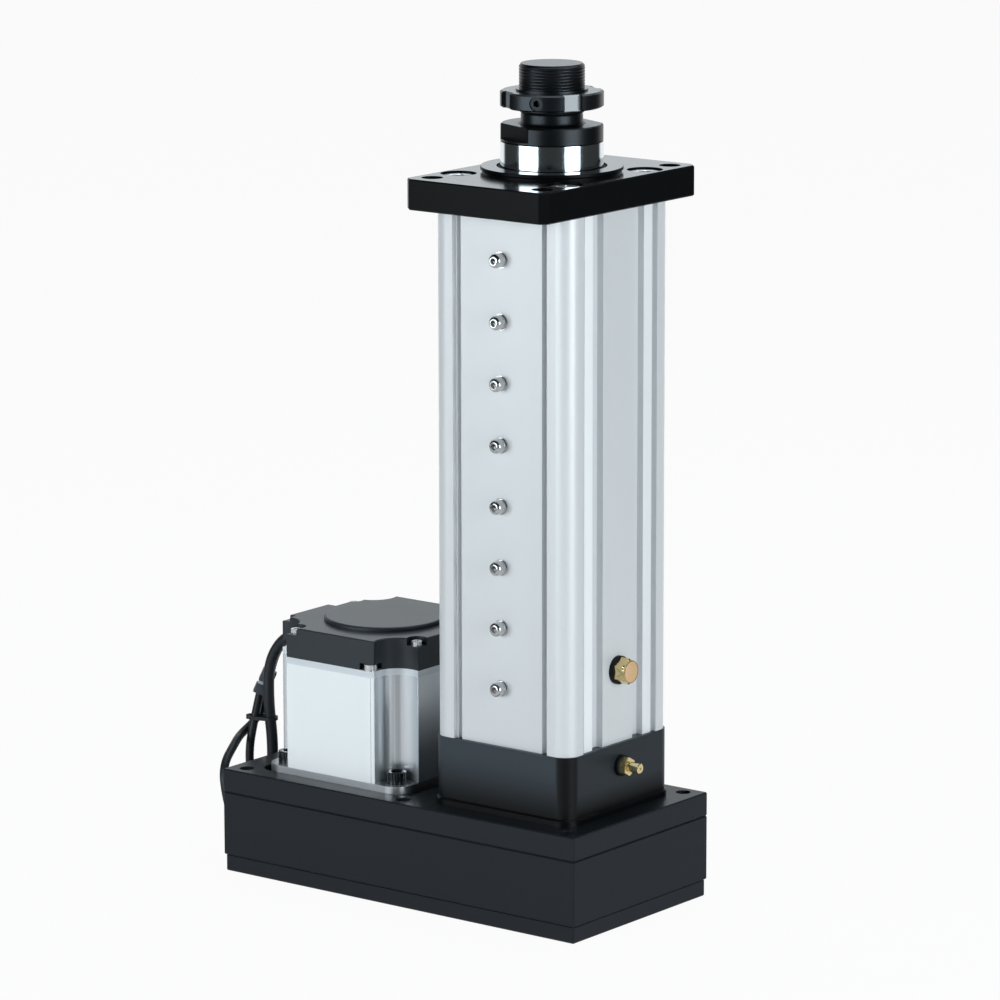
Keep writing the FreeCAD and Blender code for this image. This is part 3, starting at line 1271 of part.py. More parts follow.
def motor_end_bell():
    """The thin end plate between stator and cap, which seats the rear bearing."""
    body = notched_outline(END_BELL_HEIGHT, STATOR_TOP_Z)
    hub = cylinder(MOTOR_BEARING_R + 4, MOTOR_BEARING_W, z=CAP_Z - MOTOR_BEARING_W)
    body = body.fuse(hub).cut(cylinder(MOTOR_BEARING_R, MOTOR_BEARING_W, z=CAP_Z - MOTOR_BEARING_W))
    body = moved(body, MOTOR_X).cut(lead_grommet())
    holes = []
    for x, y in through_bolt_places():
        holes.append(cylinder(THROUGH_BOLT_R + SHANK_CLEARANCE, END_BELL_HEIGHT, x, y, STATOR_TOP_Z))
    for x, y in cap_screw_places():
        holes.append(cylinder(CAP_SCREW_R + SHANK_CLEARANCE, END_BELL_HEIGHT, x, y, STATOR_TOP_Z))
    return body.cut(holes)


def motor_cap():
    """The encoder cover with a raised disc, screw pockets and the step at the lead side."""
    body = notched_outline(CAP_HEIGHT, CAP_Z)
    body = body.makeChamfer(CAP_EDGE_BREAK, edges_at(body, CAP_TOP_Z))
    body = body.cut(cylinder(CAP_DISC_R, CAP_HEIGHT - CAP_WALL, z=CAP_Z))
    disc = cylinder(CAP_DISC_R, CAP_DISC_RISE, z=CAP_TOP_Z)
    disc = disc.makeFillet(CAP_DISC_RISE * 0.6, edges_at(disc, CAP_TOP_Z + CAP_DISC_RISE))
    body = body.fuse(disc)
    half = MOTOR_SIZE / 2
    near = half - MOTOR_NOTCH
    above = CAP_TOP_Z + 1
    ear_x = -half + CAP_EAR_DEPTH
    step_x = -half + CAP_STEP_DEPTH
    relief = [block(-half - 1, ear_x, -near - 1, -near + CAP_EAR_LENGTH, CAP_TOP_Z - CAP_EAR_DROP, above)]
    relief.append(block(-half - 1, step_x, CAP_STEP_Y, near + 1, CAP_Z, above))
    body = moved(body.cut(relief), MOTOR_X)
    cuts = [lead_grommet()]
    for x, y in through_bolt_places():
        cuts.append(cylinder(BOLT_POCKET_R, BOLT_POCKET_HEIGHT, x, y, CAP_Z))
    for x, y in cap_screw_places():
        cuts.append(cylinder(CAP_SCREW_R + SHANK_CLEARANCE, CAP_HEIGHT, x, y, CAP_Z))
        cuts.append(cylinder(CAP_POCKET_R, CAP_POCKET_DEPTH, x, y, CAP_TOP_Z - CAP_POCKET_DEPTH))
    return body.cut(cuts)


def motor_cap_screws():
    """Four screws in the pockets of the cap's top edge."""
    seat_z = CAP_TOP_Z - CAP_POCKET_DEPTH
    length = seat_z - CAP_Z + END_BELL_HEIGHT + CAP_SCREW_LENGTH - 2
    screw = cap_screw(CAP_SCREW_R, length, CAP_SCREW_HEAD_R, CAP_SCREW_HEAD_H, CAP_SCREW_SOCKET_AF)
    return group([moved(screw, x, y, seat_z) for x, y in cap_screw_places()])


def motor_through_bolts():
    """Four long bolts that hold end bell, stator and flange together."""
    length = CAP_Z - MOTOR_FLANGE_TOP_Z + THROUGH_BOLT_THREAD
    head_r, head_h = THROUGH_BOLT_HEAD_R, THROUGH_BOLT_HEAD_H
    bolt = cap_screw(THROUGH_BOLT_R, length, head_r, head_h, THROUGH_BOLT_SOCKET_AF)
    return group([moved(bolt, x, y, CAP_Z) for x, y in through_bolt_places()])


def motor_mount_screws():
    """Four cap screws that hold the motor on the deck."""
    length = MOTOR_FLANGE_TOP_Z - PLATE_Z + MOTOR_NUT_H
    head_r, head_h = MOTOR_SCREW_HEAD_R, MOTOR_SCREW_HEAD_H
    screw = cap_screw(MOTOR_SCREW_R, length, head_r, head_h, MOTOR_SCREW_SOCKET_AF)
    return group([moved(screw, x, y, MOTOR_FLANGE_TOP_Z) for x, y in motor_screw_places()])


def motor_mount_nuts():
    """The nuts of the mounting screws, under the deck."""
    nut = hexagon(MOTOR_NUT_AF, MOTOR_NUT_H).cut(cylinder(MOTOR_SCREW_R, MOTOR_NUT_H))
    return group([moved(nut, x, y, PLATE_Z - MOTOR_NUT_H) for x, y in motor_screw_places()])


def motor_bearings():
    """The front and rear bearings of the motor."""
    heights = (MOTOR_FLANGE_TOP_Z - MOTOR_BEARING_W, CAP_Z - MOTOR_BEARING_W)
    inner = MOTOR_SHAFT_R + RUNNING_CLEARANCE
    rings = [ring(MOTOR_BEARING_R, inner, MOTOR_BEARING_W, z) for z in heights]
    return group([moved(r, MOTOR_X) for r in rings])


def motor_shaft():
    """The motor shaft, which carries the drive pulley."""
    return cylinder(MOTOR_SHAFT_R, CAP_Z + CAP_HEIGHT / 2 - PULLEY_Z, MOTOR_X, 0, PULLEY_Z)


def motor_rotor():
    """The magnet rotor inside the stator."""
    height = STATOR_HEIGHT - 2 * ROTOR_MARGIN
    body = ring(ROTOR_R, MOTOR_SHAFT_R, height, MOTOR_FLANGE_TOP_Z + ROTOR_MARGIN)
    return moved(body, MOTOR_X)


def grommet_block(outer_x, inner_x):
    """The rubber block between end bell and cap, from one X to another."""
    y0, y1 = GROMMET_Y
    return block(outer_x, inner_x, y0, y1, STATOR_TOP_Z, STATOR_TOP_Z + GROMMET_HEIGHT)


def lead_grommet():
    """The grommet that both leads leave the motor through."""
    return grommet_block(LEAD_X, LEAD_X + GROMMET_RISE + GROMMET_INNER)


def lead(points, radius, name):
    """A tube of straight runs joined by arcs that touch them, each arc as large as its runs allow."""
    points = [Vector(*p) for p in points]
    edges = []
    bends = []
    start = points[0]
    for before, corner, after in zip(points, points[1:], points[2:]):
        back = before - corner
        ahead = after - corner
        reach = 0.45 * min(back.Length, ahead.Length)
        half_turn = (math.pi - back.getAngle(ahead)) / 2
        bend = reach / math.tan(half_turn)
        back.normalize()
        ahead.normalize()
        inward = back + ahead
        inward.normalize()
        first = corner + back * reach
        last = corner + ahead * reach
        middle = corner + inward * (bend / math.cos(half_turn) - bend)
        edges.append(Part.LineSegment(start, first).toShape())
        edges.append(Part.Arc(first, middle, last).toShape())
        bends.append(round(bend, 1))
        start = last
    edges.append(Part.LineSegment(start, points[-1]).toShape())
    path = Part.Wire(edges)
    section = Part.Wire(Part.makeCircle(radius, points[0], points[1] - points[0]))
    tube = path.makePipeShell([section], True, False)
    share = tube.Volume / (math.pi * radius ** 2 * path.Length)
    print(name, "length", round(path.Length, 1), "volume share", round(share, 4), "radii", bends)
    return tube


def motor_lead():
    """The motor's power lead."""
    return lead(MOTOR_LEAD_ROUTE, MOTOR_LEAD_R, "motor_lead")


def encoder_lead():
    """The encoder's lead."""
    return lead(ENCODER_LEAD_ROUTE, ENCODER_LEAD_R, "encoder_lead")


def motor_lead_plug():
    """The plug at the end of the motor lead, lying on the floor behind the box."""
    x, y, _ = MOTOR_LEAD_ROUTE[-1]
    half = PLUG_WIDTH / 2
    body = block(x - half, x + half, y, y + PLUG_LENGTH, 0, PLUG_THICKNESS)
    return body.makeFillet(EDGE_BREAK, body.Edges)


def encoder_connector():
    """The upright connector of the encoder lead: shell, band and nose."""
    x, y, z = ENCODER_LEAD_ROUTE[-1]
    pieces = []
    for step, margin in zip(CONNECTOR_STEPS, (0.5, 0.0, 0.8)):
        wide = CONNECTOR_WIDTH / 2 - margin
        deep = CONNECTOR_DEPTH / 2 - margin / 2
        piece = block(-wide, wide, -deep, deep, z, z + step)
        pieces.append(moved(turned(piece, CONNECTOR_TURN), x, y))
        z += step
    return group(pieces)


def cable_tie():
    """The strap round the two leads, with its lock."""
    ends = [lead_place(MOTOR_LEAD_ROUTE, 4), lead_place(ENCODER_LEAD_ROUTE, -3)]
    inner = MOTOR_LEAD_R + BODY_GAP
    strap = capsule(ends, inner + TIE_THICKNESS).cut(capsule(ends, inner))
    x, y = ends[1]
    half = TIE_HEAD / 2
    lock = block(-inner - TIE_HEAD, -inner - TIE_THICKNESS / 2, -half, half, TIE_Z - half, TIE_Z + half)
    return strap.fuse(moved(lock, x, y))


def lead_place(route, index):
    """Where one run of a lead crosses the tie's level."""
    first = Vector(*route[index])
    last = Vector(*route[index + 1])
    share = (TIE_Z - first.z) / (last.z - first.z)
    place = first + (last - first) * share
    return place.x, place.y


def capsule(ends, radius):
    """A flat block with round ends about two upright axes, at the tie's level."""
    low = TIE_Z - TIE_WIDTH / 2
    discs = [cylinder(radius, TIE_WIDTH, x, y, low) for x, y in ends]
    (x0, y0), (x1, y1) = ends
    length = math.hypot(x1 - x0, y1 - y0)
    side_x = (y1 - y0) / length * radius
    side_y = -(x1 - x0) / length * radius
    corners = [(x0 + side_x, y0 + side_y), (x1 + side_x, y1 + side_y)]
    corners += [(x1 - side_x, y1 - side_y), (x0 - side_x, y0 - side_y)]
    return discs[0].fuse([discs[1], prism(corners, TIE_WIDTH, low)])


NODES = {
    "base_top_plate": base_top_plate,
    "belt_box_body": belt_box_body,
    "bottom_cover": bottom_cover,
    "top_plate_screws": top_plate_screws,
    "bottom_cover_screws": bottom_cover_screws,
    "bearing_housing": bearing_housing,
    "housing_bolts": housing_bolts,
    "tube_profile": tube_profile,
    "front_flange": front_flange,
    "front_flange_screws": front_flange_screws,
    "gland_ring": gland_ring,
    "rod_bush": rod_bush,
    "rod_seal": rod_seal,
    "wiper_seal": wiper_seal,
    "piston_rod": piston_rod,
    "rod_end": rod_end,
    "lock_nut": lock_nut,
    "lock_nut_set_screw": lock_nut_set_screw,
    "screw_shaft": screw_shaft,
    "screw_tip_bush": screw_tip_bush,
    "bearing_outer_rings": bearing_outer_rings,
    "bearing_inner_rings": bearing_inner_rings,
    "bearing_rollers": bearing_rollers,
    "bearing_lock_nut": bearing_lock_nut,
    "driven_pulley": driven_pulley,
    "driven_pulley_key": driven_pulley_key,
    "driven_pulley_washer": driven_pulley_washer,
    "driven_pulley_screw": driven_pulley_screw,
    "drive_pulley": drive_pulley,
    "timing_belt": timing_belt,
    "ball_nut": ball_nut,
    "nut_screws": nut_screws,
    "nut_carrier": nut_carrier,
    "carrier_wear_bands": carrier_wear_bands,
    "slide_pads": slide_pads,
    "guide_rail": guide_rail,
    "guide_rail_screws": guide_rail_screws,
    "guide_rail_washers": guide_rail_washers,
    "breather_plug": breather_plug,
    "breather_element": breather_element,
    "breather_washer": breather_washer,
    "grease_nipple": grease_nipple,
    "grease_nipple_washer": grease_nipple_washer,
    "motor_flange": motor_flange,
    "motor_stator": motor_stator,
    "motor_end_bell": motor_end_bell,
    "motor_cap": motor_cap,
    "motor_cap_screws": motor_cap_screws,
    "motor_through_bolts": motor_through_bolts,
    "motor_mount_screws": motor_mount_screws,
    "motor_mount_nuts": motor_mount_nuts,
    "motor_bearings": motor_bearings,
    "motor_shaft": motor_shaft,
    "motor_rotor": motor_rotor,
    "lead_grommet": lead_grommet,
    "motor_lead": motor_lead,
    "motor_lead_plug": motor_lead_plug,
    "encoder_lead": encoder_lead,
    "encoder_connector": encoder_connector,
    "cable_tie": cable_tie,
}


def main():
    """Writes one file per node."""
    os.makedirs("parts", exist_ok=True)
    for name, make in NODES.items():
        make().exportStep("parts/" + name + ".step")


main()
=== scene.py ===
"""Looks of a servo electric cylinder: a motor beside an extruded barrel on a belt box, with a chromed rod."""
import json
import logging
import math
from dataclasses import dataclass, field
from enum import Enum
from typing import Callable, Iterable, Sequence

import bmesh
import bpy
from mathutils import Matrix, Vector


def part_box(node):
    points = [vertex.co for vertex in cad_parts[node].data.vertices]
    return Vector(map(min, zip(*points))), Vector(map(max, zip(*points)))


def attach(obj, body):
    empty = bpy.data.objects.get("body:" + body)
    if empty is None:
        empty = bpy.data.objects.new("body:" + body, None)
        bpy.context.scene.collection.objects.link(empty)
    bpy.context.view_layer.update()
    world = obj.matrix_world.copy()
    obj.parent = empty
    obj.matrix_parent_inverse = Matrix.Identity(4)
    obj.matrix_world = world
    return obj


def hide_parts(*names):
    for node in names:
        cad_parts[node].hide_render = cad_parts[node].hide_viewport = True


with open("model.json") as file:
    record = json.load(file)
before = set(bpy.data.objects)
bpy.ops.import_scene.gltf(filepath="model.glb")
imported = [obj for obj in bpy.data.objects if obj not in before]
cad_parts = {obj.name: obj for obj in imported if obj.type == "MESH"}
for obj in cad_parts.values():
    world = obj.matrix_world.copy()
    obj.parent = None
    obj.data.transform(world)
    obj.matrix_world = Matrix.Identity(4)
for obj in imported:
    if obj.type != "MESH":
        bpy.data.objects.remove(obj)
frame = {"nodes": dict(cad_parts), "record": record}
LOG = logging.getLogger("cylinder")
MM = 0.001
Colour = tuple[float, float, float]
Point = tuple[float, float, float]
WHITE: Colour = (1.0, 1.0, 1.0)
BLACK: Colour = (0.0, 0.0, 0.0)
# How near to a plane, in metres, a point counts as lying in it.
ON_PLANE = 0.0004
# Span of a normal's Z over which a face comes to count as looking up.
LOOKING_UP = (0.9, 0.99)
# Span of the streaks' noise over which a dark line fades out.
STREAK_EDGE = (0.40, 0.56)
# How far roughness wanders, as a share of how far colour does.
ROUGHNESS_WANDER = 0.8
LEAST_ROUGHNESS = 0.02
COAT_ROUGHNESS = 0.14


class Socket:
    """A shader socket on which Python's operators add nodes."""

    def __init__(self, graph: "Graph", link: bpy.types.NodeSocket) -> None:
        """Keeps the graph and the socket."""
        self.graph = graph
        self.link = link

    def _math(self, operation: str, *values: "Socket | float") -> "Socket":
        """Adds one Math node.

        Args:
            operation: Name of the operation.
            values: Its inputs in order.

        Returns:
            The node's output.
        """
        return self.graph.add("ShaderNodeMath", {"operation": operation}, dict(enumerate(values)))["Value"]

    def __add__(self, other: "Socket | float") -> "Socket":
        """Sum."""
        return self._math("ADD", self, other)

    def __sub__(self, other: "Socket | float") -> "Socket":
        """Difference."""
        return self._math("SUBTRACT", self, other)

    def __mul__(self, other: "Socket | float") -> "Socket":
        """Product."""
        return self._math("MULTIPLY", self, other)

    def __rsub__(self, other: "Socket | float") -> "Socket":
        """Difference with the number first."""
        return self._math("SUBTRACT", other, self)

    __radd__ = __add__
    __rmul__ = __mul__

    def at_least(self, other: "Socket | float") -> "Socket":
        """The larger of two values."""
        return self._math("MAXIMUM", self, other)

    def near(self, centre: float, reach: float) -> "Socket":
        """One where the value lies within a reach of a centre, and zero elsewhere."""
        return self._math("COMPARE", self, centre, reach)

    def ramp(self, low: float, high: float, first: float = 0.0, last: float = 1.0) -> "Socket":
        """Maps a span of values to another and clamps it.

        Args:
            low: Value at which the result is first.
            high: Value at which the result is last.
            first: Result at and beyond the low end.
            last: Result at and beyond the high end.

        Returns:
            The mapped value.
        """
        return self.graph.add("ShaderNodeMapRange", {"interpolation_type": "SMOOTHSTEP"}, {
            "Value": self, "From Min": low, "From Max": high, "To Min": first, "To Max": last})["Result"]


class Outputs:
    """The outputs of one node, by name."""

    def __init__(self, graph: "Graph", node: bpy.types.Node) -> None:
        """Keeps the graph and the node."""
        self.graph = graph
        self.node = node

    def __getitem__(self, name: str) -> Socket:
        """One output, the first enabled one of that name."""
        found = [s for s in self.node.outputs if s.name == name and s.enabled]
        return Socket(self.graph, found[0])


class Graph:
    """A node tree under construction."""

    def __init__(self, tree: bpy.types.NodeTree) -> None:
        """Empties the tree and keeps it."""
        self.tree = tree
        tree.nodes.clear()

    def add(self, kind: str, settings: dict | None = None, inputs: dict | None = None) -> Outputs:
        """Adds a node.

        Args:
            kind: Blender's name of the node's type.
            settings: Attributes, set before the inputs.
            inputs: Values or sockets, by the input's name or number.

        Returns:
            The node's outputs.
        """
        node = self.tree.nodes.new(kind)
        for name, value in (settings or {}).items():
            setattr(node, name, value)
        for name, value in (inputs or {}).items():
            self._feed(node, name, value)
        return Outputs(self, node)

    def blend(self, share: "Socket", first: "Socket | Colour", second: "Socket | Colour") -> Socket:
        """Mixes two colours.

        Args:
            share: Share of the second colour.
            first: A colour or a colour socket.
            second: The other one.

        Returns:
            The mixed colour.
        """
        ends = [c if isinstance(c, Socket) else (*c, 1.0) for c in (first, second)]
        inputs = {"Factor": share, "A": ends[0], "B": ends[1]}
        return self.add("ShaderNodeMix", {"data_type": "RGBA"}, inputs)["Result"]

    def axes_of(self, vector: Socket) -> tuple[Socket, Socket, Socket]:
        """The three parts of a vector."""
        parts = self.add("ShaderNodeSeparateXYZ", None, {"Vector": vector})
        return parts["X"], parts["Y"], parts["Z"]

    def _feed(self, node: bpy.types.Node, name: "str | int", value: object) -> None:
        """Sets one input of a node, or links it.

        Args:
            node: The node.
            name: The input's name or number.
            value: A value, or a socket to link.
        """
        if isinstance(name, int):
            target = node.inputs[name]
        else:
            target = [s for s in node.inputs if s.name == name and s.enabled][0]
        if isinstance(value, Socket):
            self.tree.links.new(value.link, target)
        else:
            target.default_value = value


class Grain(Enum):
    """How a finish's fine structure runs: stretch along X, Y and Z of its noise, per metre."""

    FINE = (1500.0, 1500.0, 1500.0)
    PEBBLE = (900.0, 900.0, 900.0)
    DRAWN = (2600.0, 2600.0, 14.0)
    STREAKS = (230.0, 230.0, 2.0)
    TURNED = (60.0, 60.0, 5200.0)
    BRUSHED = (30.0, 2400.0, 2400.0)
    COARSE = (3200.0, 3200.0, 3200.0)
    CLOUDY = (28.0, 28.0, 28.0)


def linear(value: float) -> float:
    """Turns one channel of a screen colour into a linear one."""
    return value / 12.92 if value <= 0.04045 else ((value + 0.055) / 1.055) ** 2.4


def screen(red: int, green: int, blue: int) -> Colour:
    """A screen colour of 0 to 255 as linear values."""
    return linear(red / 255), linear(green / 255), linear(blue / 255)


@dataclass(frozen=True)
class Finish:
    """One surface finish.

    Attributes:
        name: The material's name.
        colour: Linear base colour.
        roughness: Mean roughness.
        metallic: Zero for paint, plastic and rubber, one for bare metal.
        polish: Strength of a clear layer on faces that look up.
        grain: Direction and size of the fine structure.
        depth: Height of the fine structure, in metres.
        mottle: How far colour and roughness wander.
        specular: Strength of the plain reflection.
        streaks: How much long upright lines darken the surface.
        plain_within: Middle X, middle Y and half the width of the cross that has no such lines.
        second: Linear colour of the part that the mask picks out.
        second_metallic: How metallic that part is.
    """

    name: str
    colour: Colour
    roughness: float
    metallic: float = 0.0
    polish: float = 0.0
    grain: Grain = Grain.FINE
    depth: float = 0.00002
    mottle: float = 0.06
    specular: float = 0.5
    streaks: float = 0.0
    plain_within: tuple[float, float, float] = (0.0, 0.0, 0.0)
    second: Colour = (0.0, 0.0, 0.0)
    second_metallic: float = 0.0

    def material(self) -> bpy.types.Material:
        """Builds the material once.

        Returns:
            The material of this finish.
        """
        if self.name in bpy.data.materials:
            return bpy.data.materials[self.name]
        made = bpy.data.materials.new(self.name)
        made.use_nodes = True
        graph = Graph(made.node_tree)
        coordinates = graph.add("ShaderNodeTexCoord")
        place = coordinates["Object"]
        fine = self.noise(graph, place, self.grain, detail=3.0)
        cloud = self.noise(graph, place, Grain.CLOUDY, detail=2.0)
        wander = (fine - 0.5) * self.mottle + (cloud - 0.5) * self.mottle
        dark = tuple(c * (1 - self.mottle) for c in self.colour)
        light = tuple(min(c * (1 + self.mottle), 1.0) for c in self.colour)
        tint = graph.blend(wander + 0.5, dark, light)
        if self.streaks:
            lines = self.noise(graph, place, Grain.STREAKS, detail=2.0).ramp(*STREAK_EDGE)
            x, y, _ = graph.axes_of(place)
            middle_x, middle_y, half = self.plain_within
            plain = x.near(middle_x, half).at_least(y.near(middle_y, half))
            shaded = tuple(c * (1 - self.streaks) for c in self.colour)
            tint = graph.blend(lines.at_least(plain), shaded, tint)
        metallic: Socket | float = self.metallic
        mask = self.mask(graph, place)
        if mask is not None:
            tint = graph.blend(mask, tint, self.second)
            metallic = mask * (self.second_metallic - self.metallic) + self.metallic
        coat: Socket | float = 0.0
        if self.polish:
            rise = graph.axes_of(coordinates["Normal"])[2]
            coat = rise.ramp(*LOOKING_UP, last=self.polish)
        bump = graph.add("ShaderNodeBump", None, {"Strength": 1.0, "Distance": self.depth, "Height": fine})
        shader = graph.add("ShaderNodeBsdfPrincipled", None, {
            "Base Color": tint,
            "Roughness": (wander * ROUGHNESS_WANDER + self.roughness).at_least(LEAST_ROUGHNESS),
            "Metallic": metallic,
            "Coat Weight": coat,
            "Coat Roughness": COAT_ROUGHNESS,
            "Specular IOR Level": self.specular,
            "Normal": bump["Normal"],
        })["BSDF"]
        graph.add("ShaderNodeOutputMaterial", None, {"Surface": shader})
        return made

    def mask(self, graph: Graph, place: Socket) -> "Socket | None":
        """Where the second colour lies; nowhere on a plain finish."""
        return None

    @staticmethod
    def noise(graph: Graph, place: Socket, grain: Grain, detail: float) -> Socket:
        """Adds a noise that runs as the grain does.

        Args:
            graph: The material's graph.
            place: The point on the surface.
            grain: How the noise is stretched.
            detail: Number of finer layers.

        Returns:
            The noise, about one half on average.
        """
        stretched = graph.add("ShaderNodeVectorMath", {"operation": "MULTIPLY"}, {0: place, 1: grain.value})
        return graph.add("ShaderNodeTexNoise", None,
                         {"Vector": stretched["Vector"], "Scale": 1.0, "Detail": detail})["Fac"]


@dataclass(frozen=True)
class PaintedShadeFinish(Finish):
    """A coating with painted shade and painted dark reflections: darker towards one height, on one side and
    round the edge between +X and -Y.

    Attributes:
        darkest_z: Height at which it is darkest, in metres.
        full_z: Height at which it has its full colour.
        edge: What X less Y comes to where the flat sides end and the rounded edge starts.
        side: The X of the side that is darker as a whole, by painted shade.
        side_share: How much darker that side is, where one is the second colour.
    """

    darkest_z: float = 0.0
    full_z: float = 1.0
    edge: float = 1.0
    side: float = 1.0
    side_share: float = 0.55

    def mask(self, graph: Graph, place: Socket) -> Socket:
        """Adds the painted shade by height, side and edge, of which the largest counts.

        Args:
            graph: The material's graph.
            place: The point on the surface.

        Returns:
            The share of the second colour, which is the painted shade.
        """
        x, y, z = graph.axes_of(place)
        # All three shares are painted shade: by height, on one side and round the edge.
        by_height = z.ramp(self.darkest_z, self.full_z, 1.0, 0.0)
        by_side = x.near(self.side, ON_PLANE) * self.side_share
        by_edge = (x - y).ramp(self.edge - 1.0 * MM, self.edge + 1.5 * MM)
        return by_edge.at_least(by_height.at_least(by_side))


@dataclass(frozen=True)
class StripHighlightFinish(Finish):
    """Anodised metal with a painted highlight on the two narrow strips beside the slots.

    Attributes:
        side: The X at which the strips lie, in metres.
        middle: How far each strip's middle lies from the side's middle.
        half: Half a strip's width.
        reach: How near to that X the surface has to lie.
        far_share: How strong the painted highlight on the strip towards +Y is, where the other one counts as
            one.
    """

    side: float = 1.0
    middle: float = 1.0
    half: float = 1.0
    reach: float = 0.0003
    far_share: float = 0.7

    def mask(self, graph: Graph, place: Socket) -> Socket:
        """Picks out the strips' painted highlight.

        Args:
            graph: The material's graph.
            place: The point on the surface.

        Returns:
            Their share of the second colour, and zero elsewhere.
        """
        x, y, _ = graph.axes_of(place)
        # Both strips carry a painted highlight, the one towards +Y a weaker one.
        strips = y.near(-self.middle, self.half) + y.near(self.middle, self.half) * self.far_share
        return x.near(self.side, self.reach) * strips


@dataclass(frozen=True)
class PanelAndPaintedReflectionFinish(Finish):
    """Bare metal with one pale face on its -Y side, and on its +X side a painted reflection of the barrel
    that fades downwards.

    Attributes:
        centre: Middle of the pale face along X, in metres.
        half: Half its width.
        line: How far from its middle a fine line runs.
        line_half: Half that line's width.
        level: The Y at which the pale face lies.
        side: The X of the face that carries the painted reflection.
        foot: Height under which that face is bare.
        crown: Height from which the painted reflection is full.
    """

    centre: float = 0.0
    half: float = 1.0
    line: float = 1.0
    line_half: float = 0.00025
    level: float = 0.0
    side: float = 1.0
    foot: float = 0.0
    crown: float = 1.0

    def mask(self, graph: Graph, place: Socket) -> Socket:
        """Picks out the pale face without its fine line, and the painted reflection on the +X face.

        Args:
            graph: The material's graph.
            place: The point on the surface.

        Returns:
            One where the metal is pale, and zero where it is bare.
        """
        x, y, z = graph.axes_of(place)
        line = x.near(self.centre + self.line, self.line_half)
        face = x.near(self.centre, self.half) * y.near(self.level, ON_PLANE) * (1.0 - line)
        # The second term is the painted reflection: pale at the top of the +X face, bare metal at its foot.
        return face + x.near(self.side, ON_PLANE) * z.ramp(self.foot, self.crown)


@dataclass(frozen=True)
class SlotFinish(Finish):
    """A dark finish that leaves the slot floors of a round nut bare.

    Attributes:
        reach: Radius under which the surface is bare, in metres.
        middle: Height of the nut's middle.
        half: Half the height over which it is bare.
    """

    reach: float = 0.0
    middle: float = 0.0
    half: float = 0.0

    def mask(self, graph: Graph, place: Socket) -> Socket:
        """One on the slot floors, and zero elsewhere."""
        x, y, z = graph.axes_of(place)
        return (x * x + y * y).near(0.0, self.reach ** 2) * z.near(self.middle, self.half)


COATED = Finish("satin_coating", screen(27, 32, 38), 0.45, depth=0.000012, specular=0.2)
# The darker top face is painted shade and a painted dark reflection of the housing.
DECK_AND_PAINTED_SHADE = PaintedShadeFinish("deck_coating_and_painted_shade", screen(29, 34, 40), 0.45, polish=0.22, depth=0.000008, specular=0.2,
                    second=screen(15, 19, 23), darkest_z=0.0531, full_z=0.0528)
# The second colour is painted shade and painted dark reflections: towards the foot, on the +X side and round
# the near corner.
HOUSING_BLACK_AND_PAINTED_SHADE = PaintedShadeFinish("housing_coating_and_painted_shade", screen(58, 66, 73), 0.35, depth=0.00001, specular=0.2,
                             second=screen(5, 8, 11), darkest_z=0.055, full_z=0.082, edge=0.0762, side=0.042)
FLANGE_BLACK = Finish("flange_coating", screen(13, 15, 17), 0.32, polish=1.0, depth=0.000006, specular=0.06)
# The second colour is a painted highlight on the strips beside the slots.
ANODISED_AND_PAINTED_HIGHLIGHT = StripHighlightFinish("clear_anodised_and_painted_highlight", screen(223, 225, 227), 0.4, metallic=0.16, grain=Grain.DRAWN,
                       depth=0.000004, mottle=0.03, second=screen(248, 250, 252), side=0.040, middle=0.02375,
                       half=0.0033)
CHROMED = Finish("hard_chrome", screen(228, 238, 244), 0.11, metallic=1.0, grain=Grain.TURNED,
                 depth=0.0000004, mottle=0.02)
BLACK_OXIDE = Finish("black_oxide", screen(38, 41, 44), 0.34, metallic=0.85, polish=0.4, grain=Grain.TURNED,
                     depth=0.000003)
NUT_OXIDE = SlotFinish("nut_oxide", screen(46, 50, 54), 0.32, metallic=0.85, polish=0.6, grain=Grain.TURNED,
                       depth=0.000003, second=screen(132, 136, 139), second_metallic=0.2, reach=0.0226,
                       middle=0.3995, half=0.0039)
BLACKENED = Finish("blackened_screw", screen(72, 75, 78), 0.18, metallic=0.9, grain=Grain.TURNED,
                   depth=0.000004)
STAINLESS = Finish("stainless_screw", screen(206, 207, 208), 0.18, metallic=1.0, grain=Grain.COARSE,
                   depth=0.000003)
GROUND_STEEL = Finish("ground_steel", screen(176, 180, 186), 0.28, metallic=1.0, grain=Grain.TURNED,
                      depth=0.000003)
ZINC = Finish("bright_zinc", screen(226, 229, 232), 0.24, metallic=0.9, grain=Grain.COARSE, depth=0.000004)
MACHINED = Finish("machined_aluminium", screen(205, 208, 212), 0.32, metallic=0.9, grain=Grain.BRUSHED,
                  depth=0.000004)
END_BELL = Finish("end_bell", screen(226, 232, 237), 0.3, metallic=0.4, grain=Grain.BRUSHED, depth=0.000004)
# The -Y face is pale paint; the pale top of the +X face, fading downwards, is a painted reflection of the
# barrel.
MOTOR_SILVER_AND_PAINTED_REFLECTION = PanelAndPaintedReflectionFinish("motor_silver_and_painted_reflection", screen(228, 234, 239), 0.24, metallic=0.7, grain=Grain.DRAWN,
                           depth=0.000004, mottle=0.03, streaks=0.3, second=screen(250, 253, 255),
                           plain_within=(-0.105, 0.0, 0.0275), centre=-0.105, half=0.0285, line=0.0258,
                           level=-0.0435, side=-0.0615, foot=0.07, crown=0.108)
CAP_BLACK = Finish("cap_plastic", screen(42, 48, 54), 0.46, polish=0.32, grain=Grain.PEBBLE, depth=0.00004,
                   specular=0.35)
BRASS = Finish("turned_brass", screen(220, 196, 144), 0.2, metallic=1.0, grain=Grain.TURNED, depth=0.000004)
